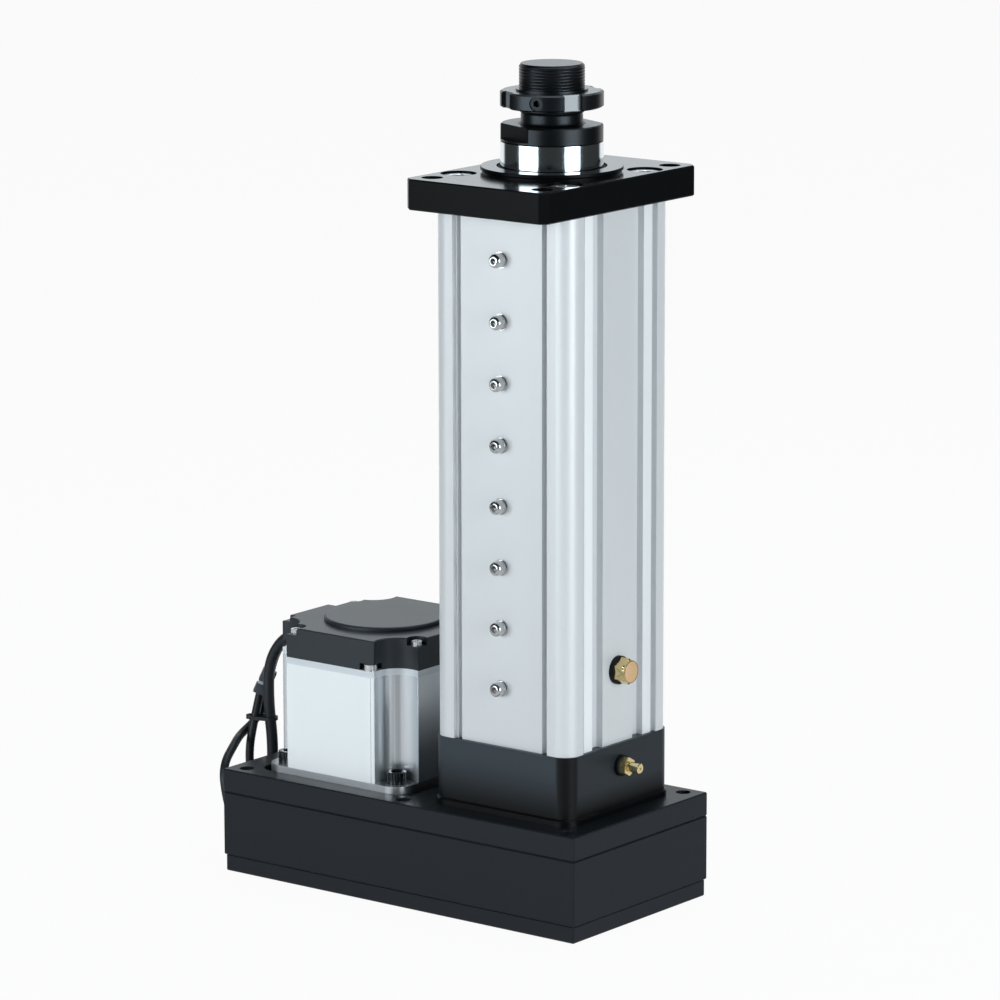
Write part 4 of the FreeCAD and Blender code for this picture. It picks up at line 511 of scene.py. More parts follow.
# A lighter copy of the brass for the grease nipple: painted light for its highlights.
BRASS_PAINTED_LIGHT = Finish("brass_with_painted_light", screen(246, 228, 172), 0.16, metallic=0.9, grain=Grain.TURNED, depth=0.000004)
SINTERED = Finish("sintered_bronze", screen(226, 186, 142), 0.55, metallic=0.2, grain=Grain.COARSE,
                  depth=0.00008, mottle=0.3)
BRONZE = Finish("bush_bronze", screen(176, 140, 84), 0.34, metallic=1.0, grain=Grain.TURNED, depth=0.000004)
RUBBER = Finish("seal_rubber", screen(12, 13, 14), 0.62, grain=Grain.PEBBLE, depth=0.00003, specular=0.2)
JACKET = Finish("lead_jacket", screen(30, 35, 40), 0.44, grain=Grain.PEBBLE, depth=0.00003, specular=0.35)
PLUG_GREY = Finish("plug_grey", screen(68, 75, 83), 0.45, grain=Grain.PEBBLE, depth=0.00003)
PLUG_PALE = Finish("plug_pale", screen(188, 193, 198), 0.5, grain=Grain.PEBBLE)
SLIDE_PLASTIC = Finish("slide_plastic", screen(52, 70, 78), 0.5)

FINISH_OF_SLOT = {
    "base_coat": COATED, "black_coat": HOUSING_BLACK_AND_PAINTED_SHADE, "profile": ANODISED_AND_PAINTED_HIGHLIGHT, "chrome": CHROMED,
    "steel": GROUND_STEEL, "zinc": ZINC, "black_steel": BLACK_OXIDE, "carrier": MACHINED, "bronze": BRONZE,
    "brass": BRASS, "seal": RUBBER, "belt": RUBBER, "slide": SLIDE_PLASTIC, "motor_body": MOTOR_SILVER_AND_PAINTED_REFLECTION,
    "motor_cover": CAP_BLACK, "lead": JACKET, "plug": PLUG_GREY, "tie": JACKET,
}
FINISH_OF_NODE = {
    "front_flange": FLANGE_BLACK, "gland_ring": FLANGE_BLACK, "guide_rail_washers": STAINLESS,
    "lock_nut": NUT_OXIDE, "base_top_plate": DECK_AND_PAINTED_SHADE, "motor_end_bell": END_BELL, "grease_nipple": BRASS_PAINTED_LIGHT,
}


@dataclass(frozen=True)
class Ring:
    """One closed ring of a turned piece.

    Attributes:
        z: Height along the piece's own axis.
        radius: Radius as a function of the angle.
    """

    z: float
    radius: Callable[[float], float]


def round_ring(z: float, radius: float) -> Ring:
    """A circular ring."""
    return Ring(z, lambda angle: radius)


def hexagon_radius(across_flats: float) -> Callable[[float], float]:
    """The outline of a hexagon as radius by angle."""
    sixth = math.pi / 3
    return lambda angle: across_flats / 2 / math.cos((angle % sixth) - sixth / 2)


def knurled_radius(radius: float, ridges: int, depth: float) -> Callable[[float], float]:
    """A circle with pointed ridges, as radius by angle."""
    return lambda angle: radius - depth * abs(2 * ((angle * ridges / math.tau) % 1.0) - 1)


@dataclass
class Piece:
    """A mesh that is put together from turned and cut parts.

    Attributes:
        name: The object's name.
        body: The moving body that it rides on.
        slot: The record's material slot; not used.
        mesh: The mesh under construction.
    """

    name: str
    body: str
    slot: str
    mesh: bmesh.types.BMesh = field(default_factory=bmesh.new)

    def turn(self, rings: Sequence[Ring], place: Matrix, count: int = 96) -> None:
        """Adds a closed turned form.

        Args:
            rings: Its rings in order; the first and the last are closed by a face.
            place: Where the form's own axis stands.
            count: Points to a ring.
        """
        angles = [math.tau * k / count for k in range(count)]
        loops = []
        for ring in rings:
            points = [(ring.radius(a) * math.cos(a), ring.radius(a) * math.sin(a), ring.z) for a in angles]
            loops.append([place @ Vector(p) for p in points])
        self.skin(loops)

    def skin(self, loops: Sequence[Sequence[Vector]], endless: bool = False) -> None:
        """Joins closed loops of points to a skin.

        Args:
            loops: The loops in order, all with as many points.
            endless: Whether the last loop joins the first, instead of a face at either end.
        """
        rows = [[self.mesh.verts.new(point) for point in loop] for loop in loops]
        pairs = list(zip(rows, rows[1:]))
        if endless:
            pairs.append((rows[-1], rows[0]))
        for low, high in pairs:
            for k, corner in enumerate(low):
                after = (k + 1) % len(low)
                self.mesh.faces.new((corner, low[after], high[after], high[k]))
        if not endless:
            self.mesh.faces.new(rows[0][::-1])
            self.mesh.faces.new(rows[-1])

    def block(self, size: Vector, place: Matrix, bevel: float) -> None:
        """Adds a block with rounded edges.

        Args:
            size: Its size along its own axes.
            place: Where its middle and its axes lie.
            bevel: Width of the rounding.
        """
        made = bmesh.ops.create_cube(self.mesh, size=1.0, matrix=place @ Matrix.Diagonal((*size, 1.0)))
        edges = list({e for v in made["verts"] for e in v.link_edges})
        bmesh.ops.bevel(self.mesh, geom=edges, offset=bevel, segments=3, profile=0.5, affect="EDGES")

    def finish(self, finish: Finish, replaced: Iterable[str] = (), crease: float = 30.0) -> bpy.types.Object:
        """Turns the mesh into an object of the scene.

        Args:
            finish: The finish of its surface.
            replaced: CAD nodes that it stands for.
            crease: Angle in degrees over which an edge stays sharp.

        Returns:
            The object.
        """
        bmesh.ops.recalc_face_normals(self.mesh, faces=self.mesh.faces)
        data = bpy.data.meshes.new(self.name)
        self.mesh.to_mesh(data)
        self.mesh.free()
        data.shade_smooth()
        data.set_sharp_from_angle(angle=math.radians(crease))
        data.materials.append(finish.material())
        made = put(self.name, data)
        place_piece(made, self.body, replaced)
        return made


def put(name: str, data: bpy.types.ID) -> bpy.types.Object:
    """Puts an object in the scene.

    Args:
        name: Its name.
        data: Its mesh, curve, camera or lamp.

    Returns:
        The object.
    """
    made = bpy.data.objects.new(name, data)
    bpy.context.scene.collection.objects.link(made)
    return made


def place_piece(made: bpy.types.Object, body: str, replaced: Iterable[str]) -> None:
    """Attaches a piece to its body, hides the CAD nodes that it stands for and logs it.

    Args:
        made: The piece's object.
        body: The moving body that it rides on.
        replaced: CAD nodes that it stands for.
    """
    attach(made, body)
    names = list(replaced)
    if names:
        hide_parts(*names)
    LOG.info("piece %s on %s, for %s", made.name, body, names or "nothing")


def dress(node: str, finish: Finish) -> None:
    """Gives a CAD node its finish.

    Args:
        node: The node's name.
        finish: Its finish.
    """
    shown = frame["nodes"][node]
    shown.data.materials.clear()
    shown.data.materials.append(finish.material())
    LOG.info("node %s in %s", node, finish.name)


def upright(x: float, y: float, z: float) -> Matrix:
    """A place whose axis points up."""
    return Matrix.Translation((x, y, z))


def towards_front(x: float, y: float, z: float) -> Matrix:
    """A place whose axis points along -Y."""
    return Matrix.Translation((x, y, z)) @ Matrix.Rotation(math.radians(90), 4, "X")


def towards_side(x: float, y: float, z: float) -> Matrix:
    """A place whose axis points along +X."""
    return Matrix.Translation((x, y, z)) @ Matrix.Rotation(math.radians(90), 4, "Y")


@dataclass(frozen=True)
class SocketScrew:
    """A socket screw's own sizes, in metres.

    Attributes:
        head_radius: Radius of the head.
        head_height: Height of the head.
        across_flats: Size of the hexagon in it.
        shank_radius: Radius of the shank.
        shank_length: Length of the shank.
        ridges: Number of knurls round the head.
        dome: How far the top's edge is rounded.
    """

    head_radius: float
    head_height: float
    across_flats: float
    shank_radius: float
    shank_length: float
    ridges: int = 0
    dome: float = 0.0

    def rings(self) -> list[Ring]:
        """Works out the shank, the head and the socket.

        Returns:
            The rings from the shank's end to the bottom of the socket.
        """
        radius, top, flats = self.head_radius, self.head_height, self.across_flats
        tip_radius, tip_bevel = self.shank_radius * 0.7, self.shank_radius * 0.3
        under_radius, under_bevel = radius * 0.96, radius * 0.06
        edge, knurl_depth = max(self.dome, radius * 0.08), radius * 0.05
        mouth_radius, mouth_depth = flats * 0.64, flats * 0.05
        floor_z, drill_z, drill_radius = top * 0.45, top * 0.38, flats * 0.1
        side: Callable[[float], float] = lambda angle: radius
        if self.ridges:
            side = knurled_radius(radius, self.ridges, knurl_depth)
        rings = [round_ring(-self.shank_length, tip_radius)]
        rings.append(round_ring(-self.shank_length + tip_bevel, self.shank_radius))
        rings += [round_ring(0.0, self.shank_radius), round_ring(0.0, under_radius)]
        rings += [Ring(under_bevel, side), Ring(top - edge, side)]
        for degrees in range(18, 91, 18):
            turn = math.radians(degrees)
            height = top - edge + edge * math.sin(turn)
            rings.append(round_ring(height, radius - edge + edge * math.cos(turn)))
        socket = hexagon_radius(flats)
        rings += [round_ring(top, mouth_radius), Ring(top - mouth_depth, socket)]
        rings += [Ring(floor_z, socket), round_ring(drill_z, drill_radius)]
        return rings


@dataclass
class Fasteners:
    """All the visible screws, each group placed by the box of its CAD node."""

    def build(self) -> None:
        """Builds every group of screws."""
        flange_screw = SocketScrew(8 * MM, 10 * MM, 8 * MM, 5 * MM, 28 * MM, 40)
        mount_screw = SocketScrew(5 * MM, 6 * MM, 5 * MM, 3 * MM, 20 * MM, 22)
        plate_screw = SocketScrew(3.5 * MM, 4 * MM, 3 * MM, 2 * MM, 19 * MM, 24)
        self.corner_group("front_flange_screws", flange_screw, ZINC, "zinc")
        self.corner_group("motor_mount_screws", mount_screw, BLACKENED, "black_steel")
        self.cap_group()
        self.corner_group("top_plate_screws", plate_screw, BLACK_OXIDE, "black_steel", columns=3)
        self.rail_group()

    @staticmethod
    def corner_group(node: str, screw: SocketScrew, finish: Finish, slot: str, columns: int = 2) -> None:
        """Builds screws that stand in two rows.

        Args:
            node: The CAD node that they stand for.
            screw: Their sizes.
            finish: Their finish.
            slot: The record's slot.
            columns: Screws in each row.
        """
        low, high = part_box(node)
        piece = Piece(node + "_detail", "base", slot)
        inset = screw.head_radius
        first, last = low[0] + inset, high[0] - inset
        for column in range(columns):
            x = first + (last - first) * column / (columns - 1)
            for y in (low[1] + inset, high[1] - inset):
                piece.turn(screw.rings(), upright(x, y, high[2] - screw.head_height), count=120)
        piece.finish(finish, [node])

    @staticmethod
    def cap_group(seat: float = 3.5 * MM, aside: float = 24.5 * MM) -> None:
        """Builds the four screws in the pockets of the motor's cap.

        Args:
            seat: How far their seats lie under the top of the CAD heads.
            aside: How far each one lies beside the middle of its side.
        """
        low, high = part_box("motor_cap_screws")
        middle = (Vector(low) + Vector(high)) / 2
        screw = SocketScrew(2.65 * MM, 2.6 * MM, 2.5 * MM, 1.5 * MM, 18 * MM, 18)
        out = (high[0] - low[0]) / 2 - screw.head_radius
        piece = Piece("motor_cap_screws_detail", "base", "zinc")
        for quarter in range(4):
            place = Matrix.Rotation(math.pi / 2 * quarter, 3, "Z") @ Vector((out, -aside, 0.0))
            piece.turn(screw.rings(), upright(middle.x + place.x, middle.y + place.y, high[2] - seat))
        piece.finish(ZINC, ["motor_cap_screws"])

    @staticmethod
    def rail_group(count: int = 8) -> None:
        """Builds the domed screws in a line on the barrel.

        Args:
            count: Number of screws.
        """
        low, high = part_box("guide_rail_screws")
        radius = (high[0] - low[0]) / 2
        screw = SocketScrew(radius, 4.6 * MM, 3.2 * MM, 2 * MM, 12 * MM, dome=1.9 * MM)
        piece = Piece("guide_rail_screws_detail", "base", "zinc")
        pitch = (high[2] - low[2] - 2 * radius) / (count - 1)
        for index in range(count):
            z = low[2] + radius + pitch * index
            piece.turn(screw.rings(), towards_front(0.0, low[1] + screw.head_height, z))
        piece.finish(STAINLESS, ["guide_rail_screws"])


@dataclass
class Fittings:
    """What shows of the breather and the grease nipple beside their CAD bodies.

    Attributes:
        breather_washer: Radius and thickness of the breather's washer.
        nipple_washer: Radius and thickness of the nipple's washer.
        across_flats: Size of the breather's hexagon.
        plug_end: How far the breather reaches out of the washer's seat.
        rim: Outer radius of its round end.
        element: Radius of its porous disc.
    """

    breather_washer: tuple[float, float] = (7.0 * MM, 2.4 * MM)
    nipple_washer: tuple[float, float] = (5.2 * MM, 2.2 * MM)
    across_flats: float = 11.4 * MM
    plug_end: float = 8.6 * MM
    rim: float = 5.65 * MM
    element: float = 5.2 * MM

    def build(self) -> None:
        """Builds the breather and both washers."""
        self.washer("grease_nipple_washer", self.nipple_washer)
        self.washer("breather_washer", self.breather_washer)
        low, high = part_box("breather_washer")
        seat = towards_side(low[0], (low[1] + high[1]) / 2, (low[2] + high[2]) / 2)
        sides, end = hexagon_radius(self.across_flats), self.plug_end
        foot, hexagon_top, rim_foot, bevel, sunk = (v * MM for v in (1.0, 1.6, 0.9, 0.2, 0.4))
        rings = [Ring(foot, sides), Ring(end - hexagon_top, sides), round_ring(end - rim_foot, self.rim)]
        rings += [round_ring(end - bevel, self.rim), round_ring(end, self.rim - bevel)]
        rings += [round_ring(end, self.element), round_ring(end - sunk, self.element)]
        plug = Piece("breather_plug_detail", "base", "brass")
        plug.turn(rings, seat)
        plug.finish(BRASS, ["breather_plug"])
        disc = Piece("breather_element_detail", "base", "bronze")
        steps = ((0.6, 0.1), (0.2, 0.1), (0.1, 0.3))
        disc.turn([round_ring(end - deep * MM, self.element - less * MM) for deep, less in steps], seat)
        disc.finish(SINTERED, ["breather_element"])

    @staticmethod
    def washer(node: str, size: tuple[float, float]) -> None:
        """Builds one washer where its CAD node lies, with a bevelled rim.

        Args:
            node: The CAD node.
            size: Its radius and thickness.
        """
        low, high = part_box(node)
        radius, thickness = size
        edge = 0.4 * MM
        rings = [round_ring(0.0, radius), round_ring(thickness - edge, radius)]
        rings.append(round_ring(thickness, radius - edge))
        piece = Piece(node + "_detail", "base", "seal")
        piece.turn(rings, towards_side(low[0], (low[1] + high[1]) / 2, (low[2] + high[2]) / 2))
        piece.finish(RUBBER, [node])


@dataclass
class RodEnd:
    """The end piece of the rod: collar with wrench flats, neck and threaded stud.

    Attributes:
        collar: Radius of the collar.
        across_flats: Distance between the wrench flats.
        flats_turn: Direction of one flat, in degrees.
        lip: Height of the round part under the flats.
        edge: Width of the collar's bevels.
        spigot: Radii of the part inside the rod, at its lower end and at the collar.
        neck: Radius of the neck.
        fillet: Rise and widening of the neck's foot, step by step, in millimetres.
        stud: Outer radius of the thread.
        pitch: Pitch of the thread.
        thread_depth: Depth of the thread.
        thread_steps: Rings to each turn of the thread.
        ends_depth: How far the thread's ends are turned down.
        top_inset: How far the stud's flat end stays inside its radius.
        undercut: Height of the groove under the thread.
        collar_z: Height of the collar's underside.
        neck_z: Height of the collar's top.
        thread_z: Height at which the thread starts.
        count: Points to a ring.
    """

    collar: float = 24.8 * MM
    across_flats: float = 42 * MM
    flats_turn: float = -112.5
    lip: float = 1.4 * MM
    edge: float = 0.6 * MM
    spigot: tuple[float, float] = (14 * MM, 14.9 * MM)
    neck: float = 15 * MM
    fillet: Sequence[tuple[float, float]] = ((0.0, 1.5), (0.5, 0.4), (1.5, 0.0))
    stud: float = 15.9 * MM
    pitch: float = 1.5 * MM
    thread_depth: float = 0.22 * MM
    thread_steps: int = 8
    ends_depth: float = 1.2 * MM
    top_inset: float = 2.2 * MM
    undercut: float = 0.8 * MM
    collar_z: float = 379 * MM
    neck_z: float = 387.5 * MM
    thread_z: float = 392.5 * MM
    count: int = 240

    def flat_ring(self, z: float, radius: float) -> Ring:
        """A ring of the collar, cut by the two flats.

        Args:
            z: Its height.
            radius: Its radius beside the flats.

        Returns:
            The ring.
        """
        turn = math.radians(self.flats_turn)
        half, least_cosine = self.across_flats / 2, 1e-6
        return Ring(z, lambda a: min(radius, half / max(abs(math.cos(a - turn)), least_cosine)))

    def thread_ring(self, z: float, top: float) -> Ring:
        """A ring of the thread, which climbs once round in one pitch.

        Args:
            z: Its height.
            top: Height of the stud's end.

        Returns:
            The ring.
        """
        run_in = (z - self.thread_z) / (1.0 * MM) + 0.1
        run_out = (top - z) / (1.4 * MM) + 0.15
        turned_down = (1 - min(1.0, run_out, run_in)) * self.ends_depth

        def radius(angle: float) -> float:
            """Radius of the thread's flank at an angle, with a flat on its crest."""
            rise = min(abs(2 * ((z / self.pitch - angle / math.tau) % 1.0) - 1) * 1.25, 1.0)
            return self.stud - self.thread_depth * (1 - rise) - turned_down

        return Ring(z, radius)

    def build(self) -> None:
        """Builds the end piece."""
        low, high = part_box("rod_end")
        top, edge = high[2], self.edge
        lip_z = self.collar_z + self.lip
        under = ((low[2], self.spigot[0]), (self.collar_z, self.spigot[1]))
        lip = ((self.collar_z, self.collar - edge), (self.collar_z + edge, self.collar), (lip_z, self.collar))
        rings = [round_ring(z, radius) for z, radius in under + lip]
        cut = ((lip_z, self.collar), (self.neck_z - edge, self.collar), (self.neck_z, self.collar - edge))
        rings += [self.flat_ring(z, radius) for z, radius in cut]
        rings += [round_ring(self.neck_z + rise * MM, self.neck + wider * MM) for rise, wider in self.fillet]
        rings.append(round_ring(self.thread_z - self.undercut, self.neck))
        steps = round((top - self.thread_z) / self.pitch * self.thread_steps)
        for step in range(steps + 1):
            rings.append(self.thread_ring(self.thread_z + (top - self.thread_z) * step / steps, top))
        rings.append(round_ring(top, self.stud - self.top_inset))
        piece = Piece("rod_end_detail", "rod", "black_steel")
        piece.turn(rings, upright(0.0, 0.0, 0.0), self.count)
        piece.finish(BLACK_OXIDE, ["rod_end"], crease=24.0)


@dataclass
class Leads:
    """The two leads at the motor's back, with their connectors and tie.

    Attributes:
        motor_route: Points of the motor lead, in millimetres.
        encoder_route: Points of the encoder lead, in millimetres.
        motor_diameter: Diameter of the motor lead.
        encoder_diameter: Diameter of the encoder lead.
        connector_turn: How far the upright connector is turned, in degrees.
        connector_lean: How far it leans to the right as seen from the front, in degrees.
        strap_z: Height of the tie's middle.
        strap_half: Half the tie's width.
        strap_wall: Thickness of the tie.
        strap_gap: How far it stays off the leads.
        lock_size: Size of the tie's lock, in millimetres.
    """

    motor_diameter: float = 5.8 * MM
    encoder_diameter: float = 4.4 * MM
    connector_turn: float = 38.0
    connector_lean: float = 24.0
    strap_z: float = 66 * MM
    strap_half: float = 0.9 * MM
    strap_wall: float = 0.8 * MM
    strap_gap: float = 0.3 * MM
    lock_size: Point = (1.8, 3.0, 2.6)
    motor_route: Sequence[Point] = (
        (-150.0, 0.0, 113.7), (-161.0, 0.5, 113.7), (-173.5, 1.5, 108.5), (-182.0, 0.5, 95.0),
        (-181.8, -0.3, 74.0), (-180.0, 1.0, 52.0), (-180.5, 0.0, 27.0), (-180.0, 8.3, 11.0),
        (-179.0, 22.0, 2.9), (-179.0, 38.0, 2.9),
    )
    encoder_route: Sequence[Point] = (
        (-150.0, 9.0, 113.7), (-160.5, 9.0, 113.7), (-173.5, 9.6, 110.0), (-184.5, 10.0, 100.0),
        (-189.5, 9.5, 84.5), (-189.5, 6.0, 71.0), (-193.2, 2.0, 62.0), (-194.0, -8.5, 57.0),
        (-187.0, -20.5, 56.5), (-180.5, -38.5, 48.5), (-176.8, -40.0, 32.5), (-177.0, -34.0, 18.0),
        (-180.5, -22.5, 8.0), (-185.5, -9.5, 7.5), (-189.5, -1.0, 18.0), (-190.5, -4.5, 34.0),
        (-188.5, -8.3, 50.0), (-188.8, -3.2, 65.6), (-189.4, 2.0, 77.3),
    )

    def build(self) -> None:
        """Builds leads, connectors and tie."""
        plug = self.floor_plug()
        connector, band = self.upright_connector()
        motor = self.lead("motor_lead_detail", self.motor_route, self.motor_diameter, "motor_lead")
        encoder = self.lead("encoder_lead_detail", self.encoder_route, self.encoder_diameter, "encoder_lead")
        tie = self.tie()

    @staticmethod
    def metres(point: Point) -> Point:
        """A point in metres."""
        return point[0] * MM, point[1] * MM, point[2] * MM

    def lead(self, name: str, route: Sequence[Point], diameter: float, node: str) -> bpy.types.Object:
        """Builds one lead as a smooth curve.

        Args:
            name: The piece's name.
            route: Its control points, in millimetres.
            diameter: Its diameter.
            node: The CAD node that it stands for.

        Returns:
            The curve object.
        """
        data = bpy.data.curves.new(name, "CURVE")
        data.dimensions = "3D"
        data.bevel_depth = diameter / 2
        data.bevel_resolution = 6
        data.resolution_u = 10
        data.use_fill_caps = True
        spline = data.splines.new("NURBS")
        spline.points.add(len(route) - 1)
        for point, place in zip(spline.points, route):
            point.co = (*self.metres(place), 1.0)
        spline.order_u = 3
        spline.use_endpoint_u = True
        data.materials.append(JACKET.material())
        made = put(name, data)
        place_piece(made, "base", [node])
        return made

    def upright_connector(self) -> tuple[bpy.types.Object, bpy.types.Object]:
        """Builds the connector that stands at the encoder lead's end.

        Returns:
            The connector and the pale band round it.
        """
        low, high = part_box("encoder_connector")
        centre = (Vector(low) + Vector(high)) / 2
        turn = math.radians(self.connector_turn)
        pivot = (math.sin(turn), -math.cos(turn), 0.0)
        lean = Matrix.Rotation(-math.radians(self.connector_lean), 4, pivot)
        foot = upright(centre.x, centre.y, low[2]) @ lean @ Matrix.Rotation(turn, 4, "Z")
        shell = Piece("encoder_connector_detail", "base", "plug")
        band = Piece("encoder_connector_band", "base", "plug")
        levels = ((shell, 0.0, 5.0, 7.8, 5.8), (band, 5.0, 1.8, 6.6, 5.0), (shell, 6.8, 6.6, 7.4, 5.6))
        for piece, start, height, wide, deep in levels:
            middle = foot @ upright(0.0, 0.0, (start + height / 2) * MM)
            piece.block(Vector((wide, deep, height)) * MM, middle, bevel=0.35 * MM)
        rib_size = Vector((0.8, 0.6, 4.6)) * MM
        for aside in (-1.6, 1.6):
            shell.block(rib_size, foot @ upright(aside * MM, -2.7 * MM, 10 * MM), bevel=0.12 * MM)
        return shell.finish(PLUG_GREY, ["encoder_connector"]), band.finish(PLUG_PALE)

    def tie(self) -> bpy.types.Object:
        """Builds the thin strap round the two leads, with its lock.

        Returns:
            The tie.
        """
        strands = [(self.crossing(self.motor_route[4:6]), self.motor_diameter / 2)]
        strands.append((self.crossing(self.encoder_route[-3:-1]), self.encoder_diameter / 2))
        piece = Piece("cable_tie_detail", "base", "tie")
        inner, outer = self.strap_gap, self.strap_gap + self.strap_wall
        low, high = self.strap_z - self.strap_half, self.strap_z + self.strap_half
        levels = ((inner, low), (outer, low), (outer, high), (inner, high))
        piece.skin([self.girdle(strands, gap, z) for gap, z in levels], endless=True)
        end, radius = strands[1]
        lock = upright(end.x - radius - outer, end.y - 0.5 * MM, self.strap_z)
        piece.block(Vector(self.lock_size) * MM, lock, bevel=0.3 * MM)
        return piece.finish(JACKET, ["cable_tie"])

    def crossing(self, run: Sequence[Point]) -> Vector:
        """Where a straight run of a lead crosses the tie's level."""
        first, last = (Vector(self.metres(point)) for point in run)
        return first.lerp(last, (self.strap_z - first.z) / (last.z - first.z))

    @staticmethod
    def girdle(strands: Sequence[tuple[Vector, float]], gap: float, z: float,
               count: int = 96) -> list[Vector]:
        """A taut loop round some strands.

        Args:
            strands: Centre and radius of each.
            gap: How far outside them the loop lies.
            z: Its height.
            count: Points to the loop.

        Returns:
            The loop's points.
        """
        points = []
        for k in range(count):
            way = Vector((math.cos(math.tau * k / count), math.sin(math.tau * k / count), 0.0))
            centre, radius = max(strands, key=lambda s: s[0].x * way.x + s[0].y * way.y + s[1])
            points.append(Vector((centre.x, centre.y, z)) + way * (radius + gap))
        return points

    @staticmethod
    def floor_plug() -> bpy.types.Object:
        """Builds the plug at the motor lead's end.

        Returns:
            The plug.
        """
        low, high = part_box("motor_lead_plug")
        centre = (Vector(low) + Vector(high)) / 2
        size = Vector(high) - Vector(low)
        piece = Piece("motor_lead_plug_detail", "base", "plug")
        shell = Vector((size.x, size.y * 0.62, size.z))
        piece.block(shell, upright(centre.x, low[1] + shell.y / 2, centre.z), bevel=0.8 * MM)
        nose = Vector((size.x * 0.84, size.y * 0.42, size.z * 0.84))
        piece.block(nose, upright(centre.x, high[1] - nose.y / 2, low[2] + nose.z / 2), bevel=0.5 * MM)
        latch = Vector((size.x * 0.3, size.y * 0.4, size.z * 0.1))
        piece.block(latch, upright(centre.x, high[1] - latch.y * 0.8, high[2] - latch.z), bevel=0.2 * MM)
        return piece.finish(PLUG_GREY, ["motor_lead_plug"])


@dataclass
class Structure:
    """The CAD nodes, which keep their shape where no piece stands for them."""

    def build(self) -> None:
        """Dresses every CAD node, by its name or else by its slot."""
        for entry in frame["record"]["subparts"]:
            node = entry["node"]
            dress(node, FINISH_OF_NODE.get(node, FINISH_OF_SLOT[entry["material_slot"]]))


@dataclass
class Studio:
    """Camera, floor, lamps and surroundings.

    Attributes:
        azimuth: Camera's direction about the object, in degrees.
        elevation: Camera's height angle, in degrees.
        roll: Camera's roll, in degrees.
        distance: Distance to the target, in metres.
        focal_pixels: Focal length in pixels of the image.
        target: The point aimed at before the shift.
        shift: How far right and up of the target the view's centre lies, in metres.
        sensor: Width of the camera's sensor, in millimetres.
        image_pixels: Width of the image, in pixels.
        room_edge: Where the bright backdrop starts and where it is full, as cosines off the view's axis.
        room_light: How bright the room is off that backdrop and in it.
        room_tint: Colour of the room's light.
        lamp_tint: Colour of the lamps.
        lamp_aim: The point that the lamps face.
        floor_half: Half the floor's width.
        floor_paint: The floor's colour where light falls on it.
        floor_glow: Share of plain white in what the camera sees of the floor.
        fade_span: Distances over which the mirrored floor fades.
        fade_light: How bright its painted glow is at either of them.
    """

    azimuth: float = 37.73
    elevation: float = 11.646
    roll: float = -0.098
    distance: float = 2.61157
    focal_pixels: float = 5385.85
    target: Point = (0.0, 0.0, 0.26)
    shift: tuple[float, float] = (-0.025142, -0.056246)
    sensor: float = 36.0
    image_pixels: float = 1000.0
    room_edge: tuple[float, float] = (0.58, 0.74)
    room_light: tuple[float, float] = (0.035, 0.95)
    room_tint: Colour = (0.9, 0.965, 1.0)
    lamp_tint: Colour = (0.89, 0.965, 1.0)
    lamp_aim: Point = (0.0, 0.0, 0.2)
    floor_half: float = 6.0
    floor_paint: Colour = (0.82, 0.82, 0.82)
    floor_glow: float = 0.95
    fade_span: tuple[float, float] = (0.5, 1.3)
    fade_light: tuple[float, float] = (0.6, 0.03)

    def build(self) -> None:
        """Sets the scene round the object."""
        self.camera()
        self.floor()
        self.lamps()
        self.surroundings()
        bpy.context.scene.view_settings.view_transform = "Standard"

    def axes(self) -> tuple[Vector, Vector, Vector]:
        """Works out how the camera stands.

        Returns:
            Its right, up and backward directions.
        """
        turn, rise, roll = (math.radians(a) for a in (self.azimuth, self.elevation, self.roll))
        back = Vector((math.sin(turn) * math.cos(rise), -math.cos(turn) * math.cos(rise), math.sin(rise)))
        right = Vector((math.cos(turn), math.sin(turn), 0.0))
        up = back.cross(right)
        rolled_right = right * math.cos(roll) + up * math.sin(roll)
        return rolled_right, up * math.cos(roll) - right * math.sin(roll), back

    def camera(self) -> None:
        """Adds the camera."""
        right, up, back = self.axes()
        data = bpy.data.cameras.new("camera")
        data.sensor_width = self.sensor
        data.lens = self.focal_pixels * self.sensor / self.image_pixels
        data.clip_end = 50.0
        made = put("camera", data)
        place = Vector(self.target) + right * self.shift[0] + up * self.shift[1] + back * self.distance
        made.matrix_world = Matrix.Translation(place) @ Matrix((right, up, back)).transposed().to_4x4()
        bpy.context.scene.camera = made

    def floor(self) -> None:
        """Adds the floor, nearly white to the camera and still shaded by the object."""
        data = bpy.data.meshes.new("floor")
        size = self.floor_half
        points = [(-size, -size, 0), (size, -size, 0), (size, size, 0), (-size, size, 0)]
        data.from_pydata(points, [], [(0, 1, 2, 3)])
        made = put("floor", data)
        material = bpy.data.materials.new("floor_white")
        material.use_nodes = True
        graph = Graph(material.node_tree)
        path = graph.add("ShaderNodeLightPath")
        seen, mirrored = path["Is Camera Ray"], path["Is Glossy Ray"]
        place = graph.add("ShaderNodeTexCoord")["Object"]
        reach = graph.add("ShaderNodeVectorMath", {"operation": "LENGTH"}, {0: place})["Value"]
        way = graph.add("ShaderNodeVectorMath", {"operation": "NORMALIZE"}, {0: place})["Vector"]
        # In reflections the floor glows with painted light: brightest near the object, fading outwards, and
        # never dimmer than the backdrop.
        glow = reach.ramp(*self.fade_span, *self.fade_light).at_least(self.backdrop(graph, way))
        plain = graph.add("ShaderNodeBsdfDiffuse", None, {"Color": (*self.floor_paint, 1.0)})["BSDF"]
        tone = graph.blend((glow - 1.0) * mirrored + 1.0, BLACK, WHITE)
        white = graph.add("ShaderNodeEmission", None, {"Color": tone, "Strength": 1.0})["Emission"]
        share = seen * self.floor_glow + mirrored
        mixed = graph.add("ShaderNodeMixShader", None, {0: share, 1: plain, 2: white})["Shader"]
        graph.add("ShaderNodeOutputMaterial", None, {"Surface": mixed})
        data.materials.append(material)

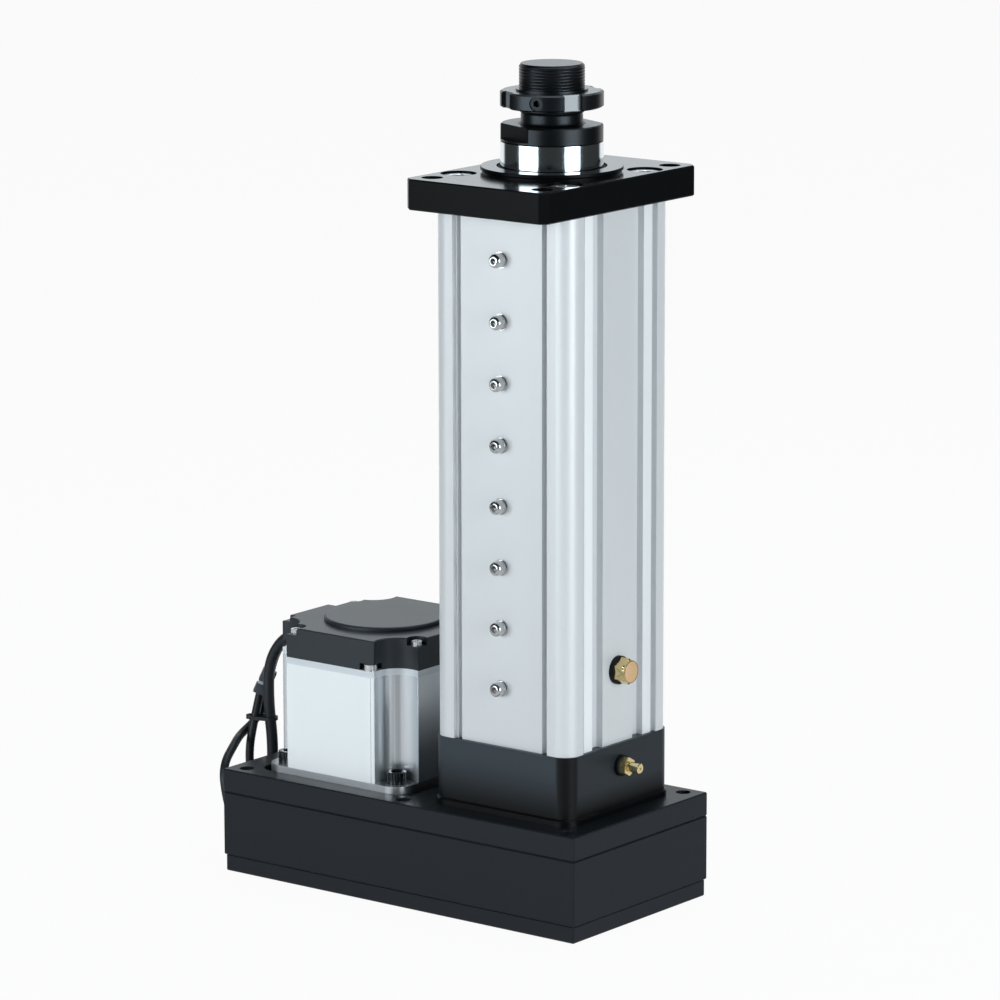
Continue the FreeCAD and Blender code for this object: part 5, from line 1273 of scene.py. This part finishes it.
    def lamp(self, name: str, turn: float, height: float, size: tuple[float, float], power: float,
             distance: float = 1.5) -> None:
        """Adds a soft lamp that faces the object.

        Args:
            name: Its name.
            turn: Its direction about the object, in degrees from the camera's, positive to the right.
            height: Height of its centre.
            size: Its width and height.
            power: Its power in watts.
            distance: Its distance from the axis.
        """
        data = bpy.data.lights.new(name, "AREA")
        data.shape = "RECTANGLE"
        data.size, data.size_y = size
        data.energy = power
        data.color = self.lamp_tint
        angle = math.radians(self.azimuth + turn)
        made = put(name, data)
        place = Vector((math.sin(angle) * distance, -math.cos(angle) * distance, height))
        aim = Vector(self.lamp_aim) - place
        made.matrix_world = Matrix.Translation(place) @ aim.to_track_quat("-Z", "Y").to_matrix().to_4x4()
        made.visible_camera = False

    def lamps(self) -> None:
        """Adds the two large soft boxes and the one overhead."""
        self.lamp("left_box", turn=-54.5, height=0.14, size=(1.24, 1.5), power=25.0)
        self.lamp("right_box", turn=46.0, height=0.14, size=(0.92, 1.5), power=27.0)
        self.lamp("top_box", turn=150.0, height=1.9, size=(1.6, 1.6), power=16.0, distance=0.6)

    def surroundings(self) -> None:
        """Makes the world: white behind the object, dim beside and before it."""
        world = bpy.data.worlds.new("studio")
        world.use_nodes = True
        graph = Graph(world.node_tree)
        level = self.backdrop(graph, graph.add("ShaderNodeTexCoord")["Generated"])
        path = graph.add("ShaderNodeLightPath")
        seen = path["Is Camera Ray"].at_least(path["Is Transmission Ray"])
        tint = graph.blend(seen, self.room_tint, WHITE)
        strength = level + seen * (1 - level)
        glow = graph.add("ShaderNodeBackground", None, {"Color": tint, "Strength": strength})
        graph.add("ShaderNodeOutputWorld", None, {"Surface": glow["Background"]})
        bpy.context.scene.world = world

    def backdrop(self, graph: Graph, way: Socket) -> Socket:
        """Adds the room's light: nearly white behind the object, nearly black elsewhere.

        Args:
            graph: The graph that needs it.
            way: A direction from the object.

        Returns:
            How bright the room is that way.
        """
        ahead = tuple(-self.axes()[2])
        behind = graph.add("ShaderNodeVectorMath", {"operation": "DOT_PRODUCT"}, {0: way, 1: ahead})
        return behind["Value"].ramp(*self.room_edge, *self.room_light)


def main() -> None:
    """Builds the scene in order."""
    logging.basicConfig(level=logging.INFO, format="%(message)s")
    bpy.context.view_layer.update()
    Studio().build()
    Structure().build()
    Leads().build()
    Fasteners().build()
    Fittings().build()
    RodEnd().build()


if __name__ == "__main__":
    main()
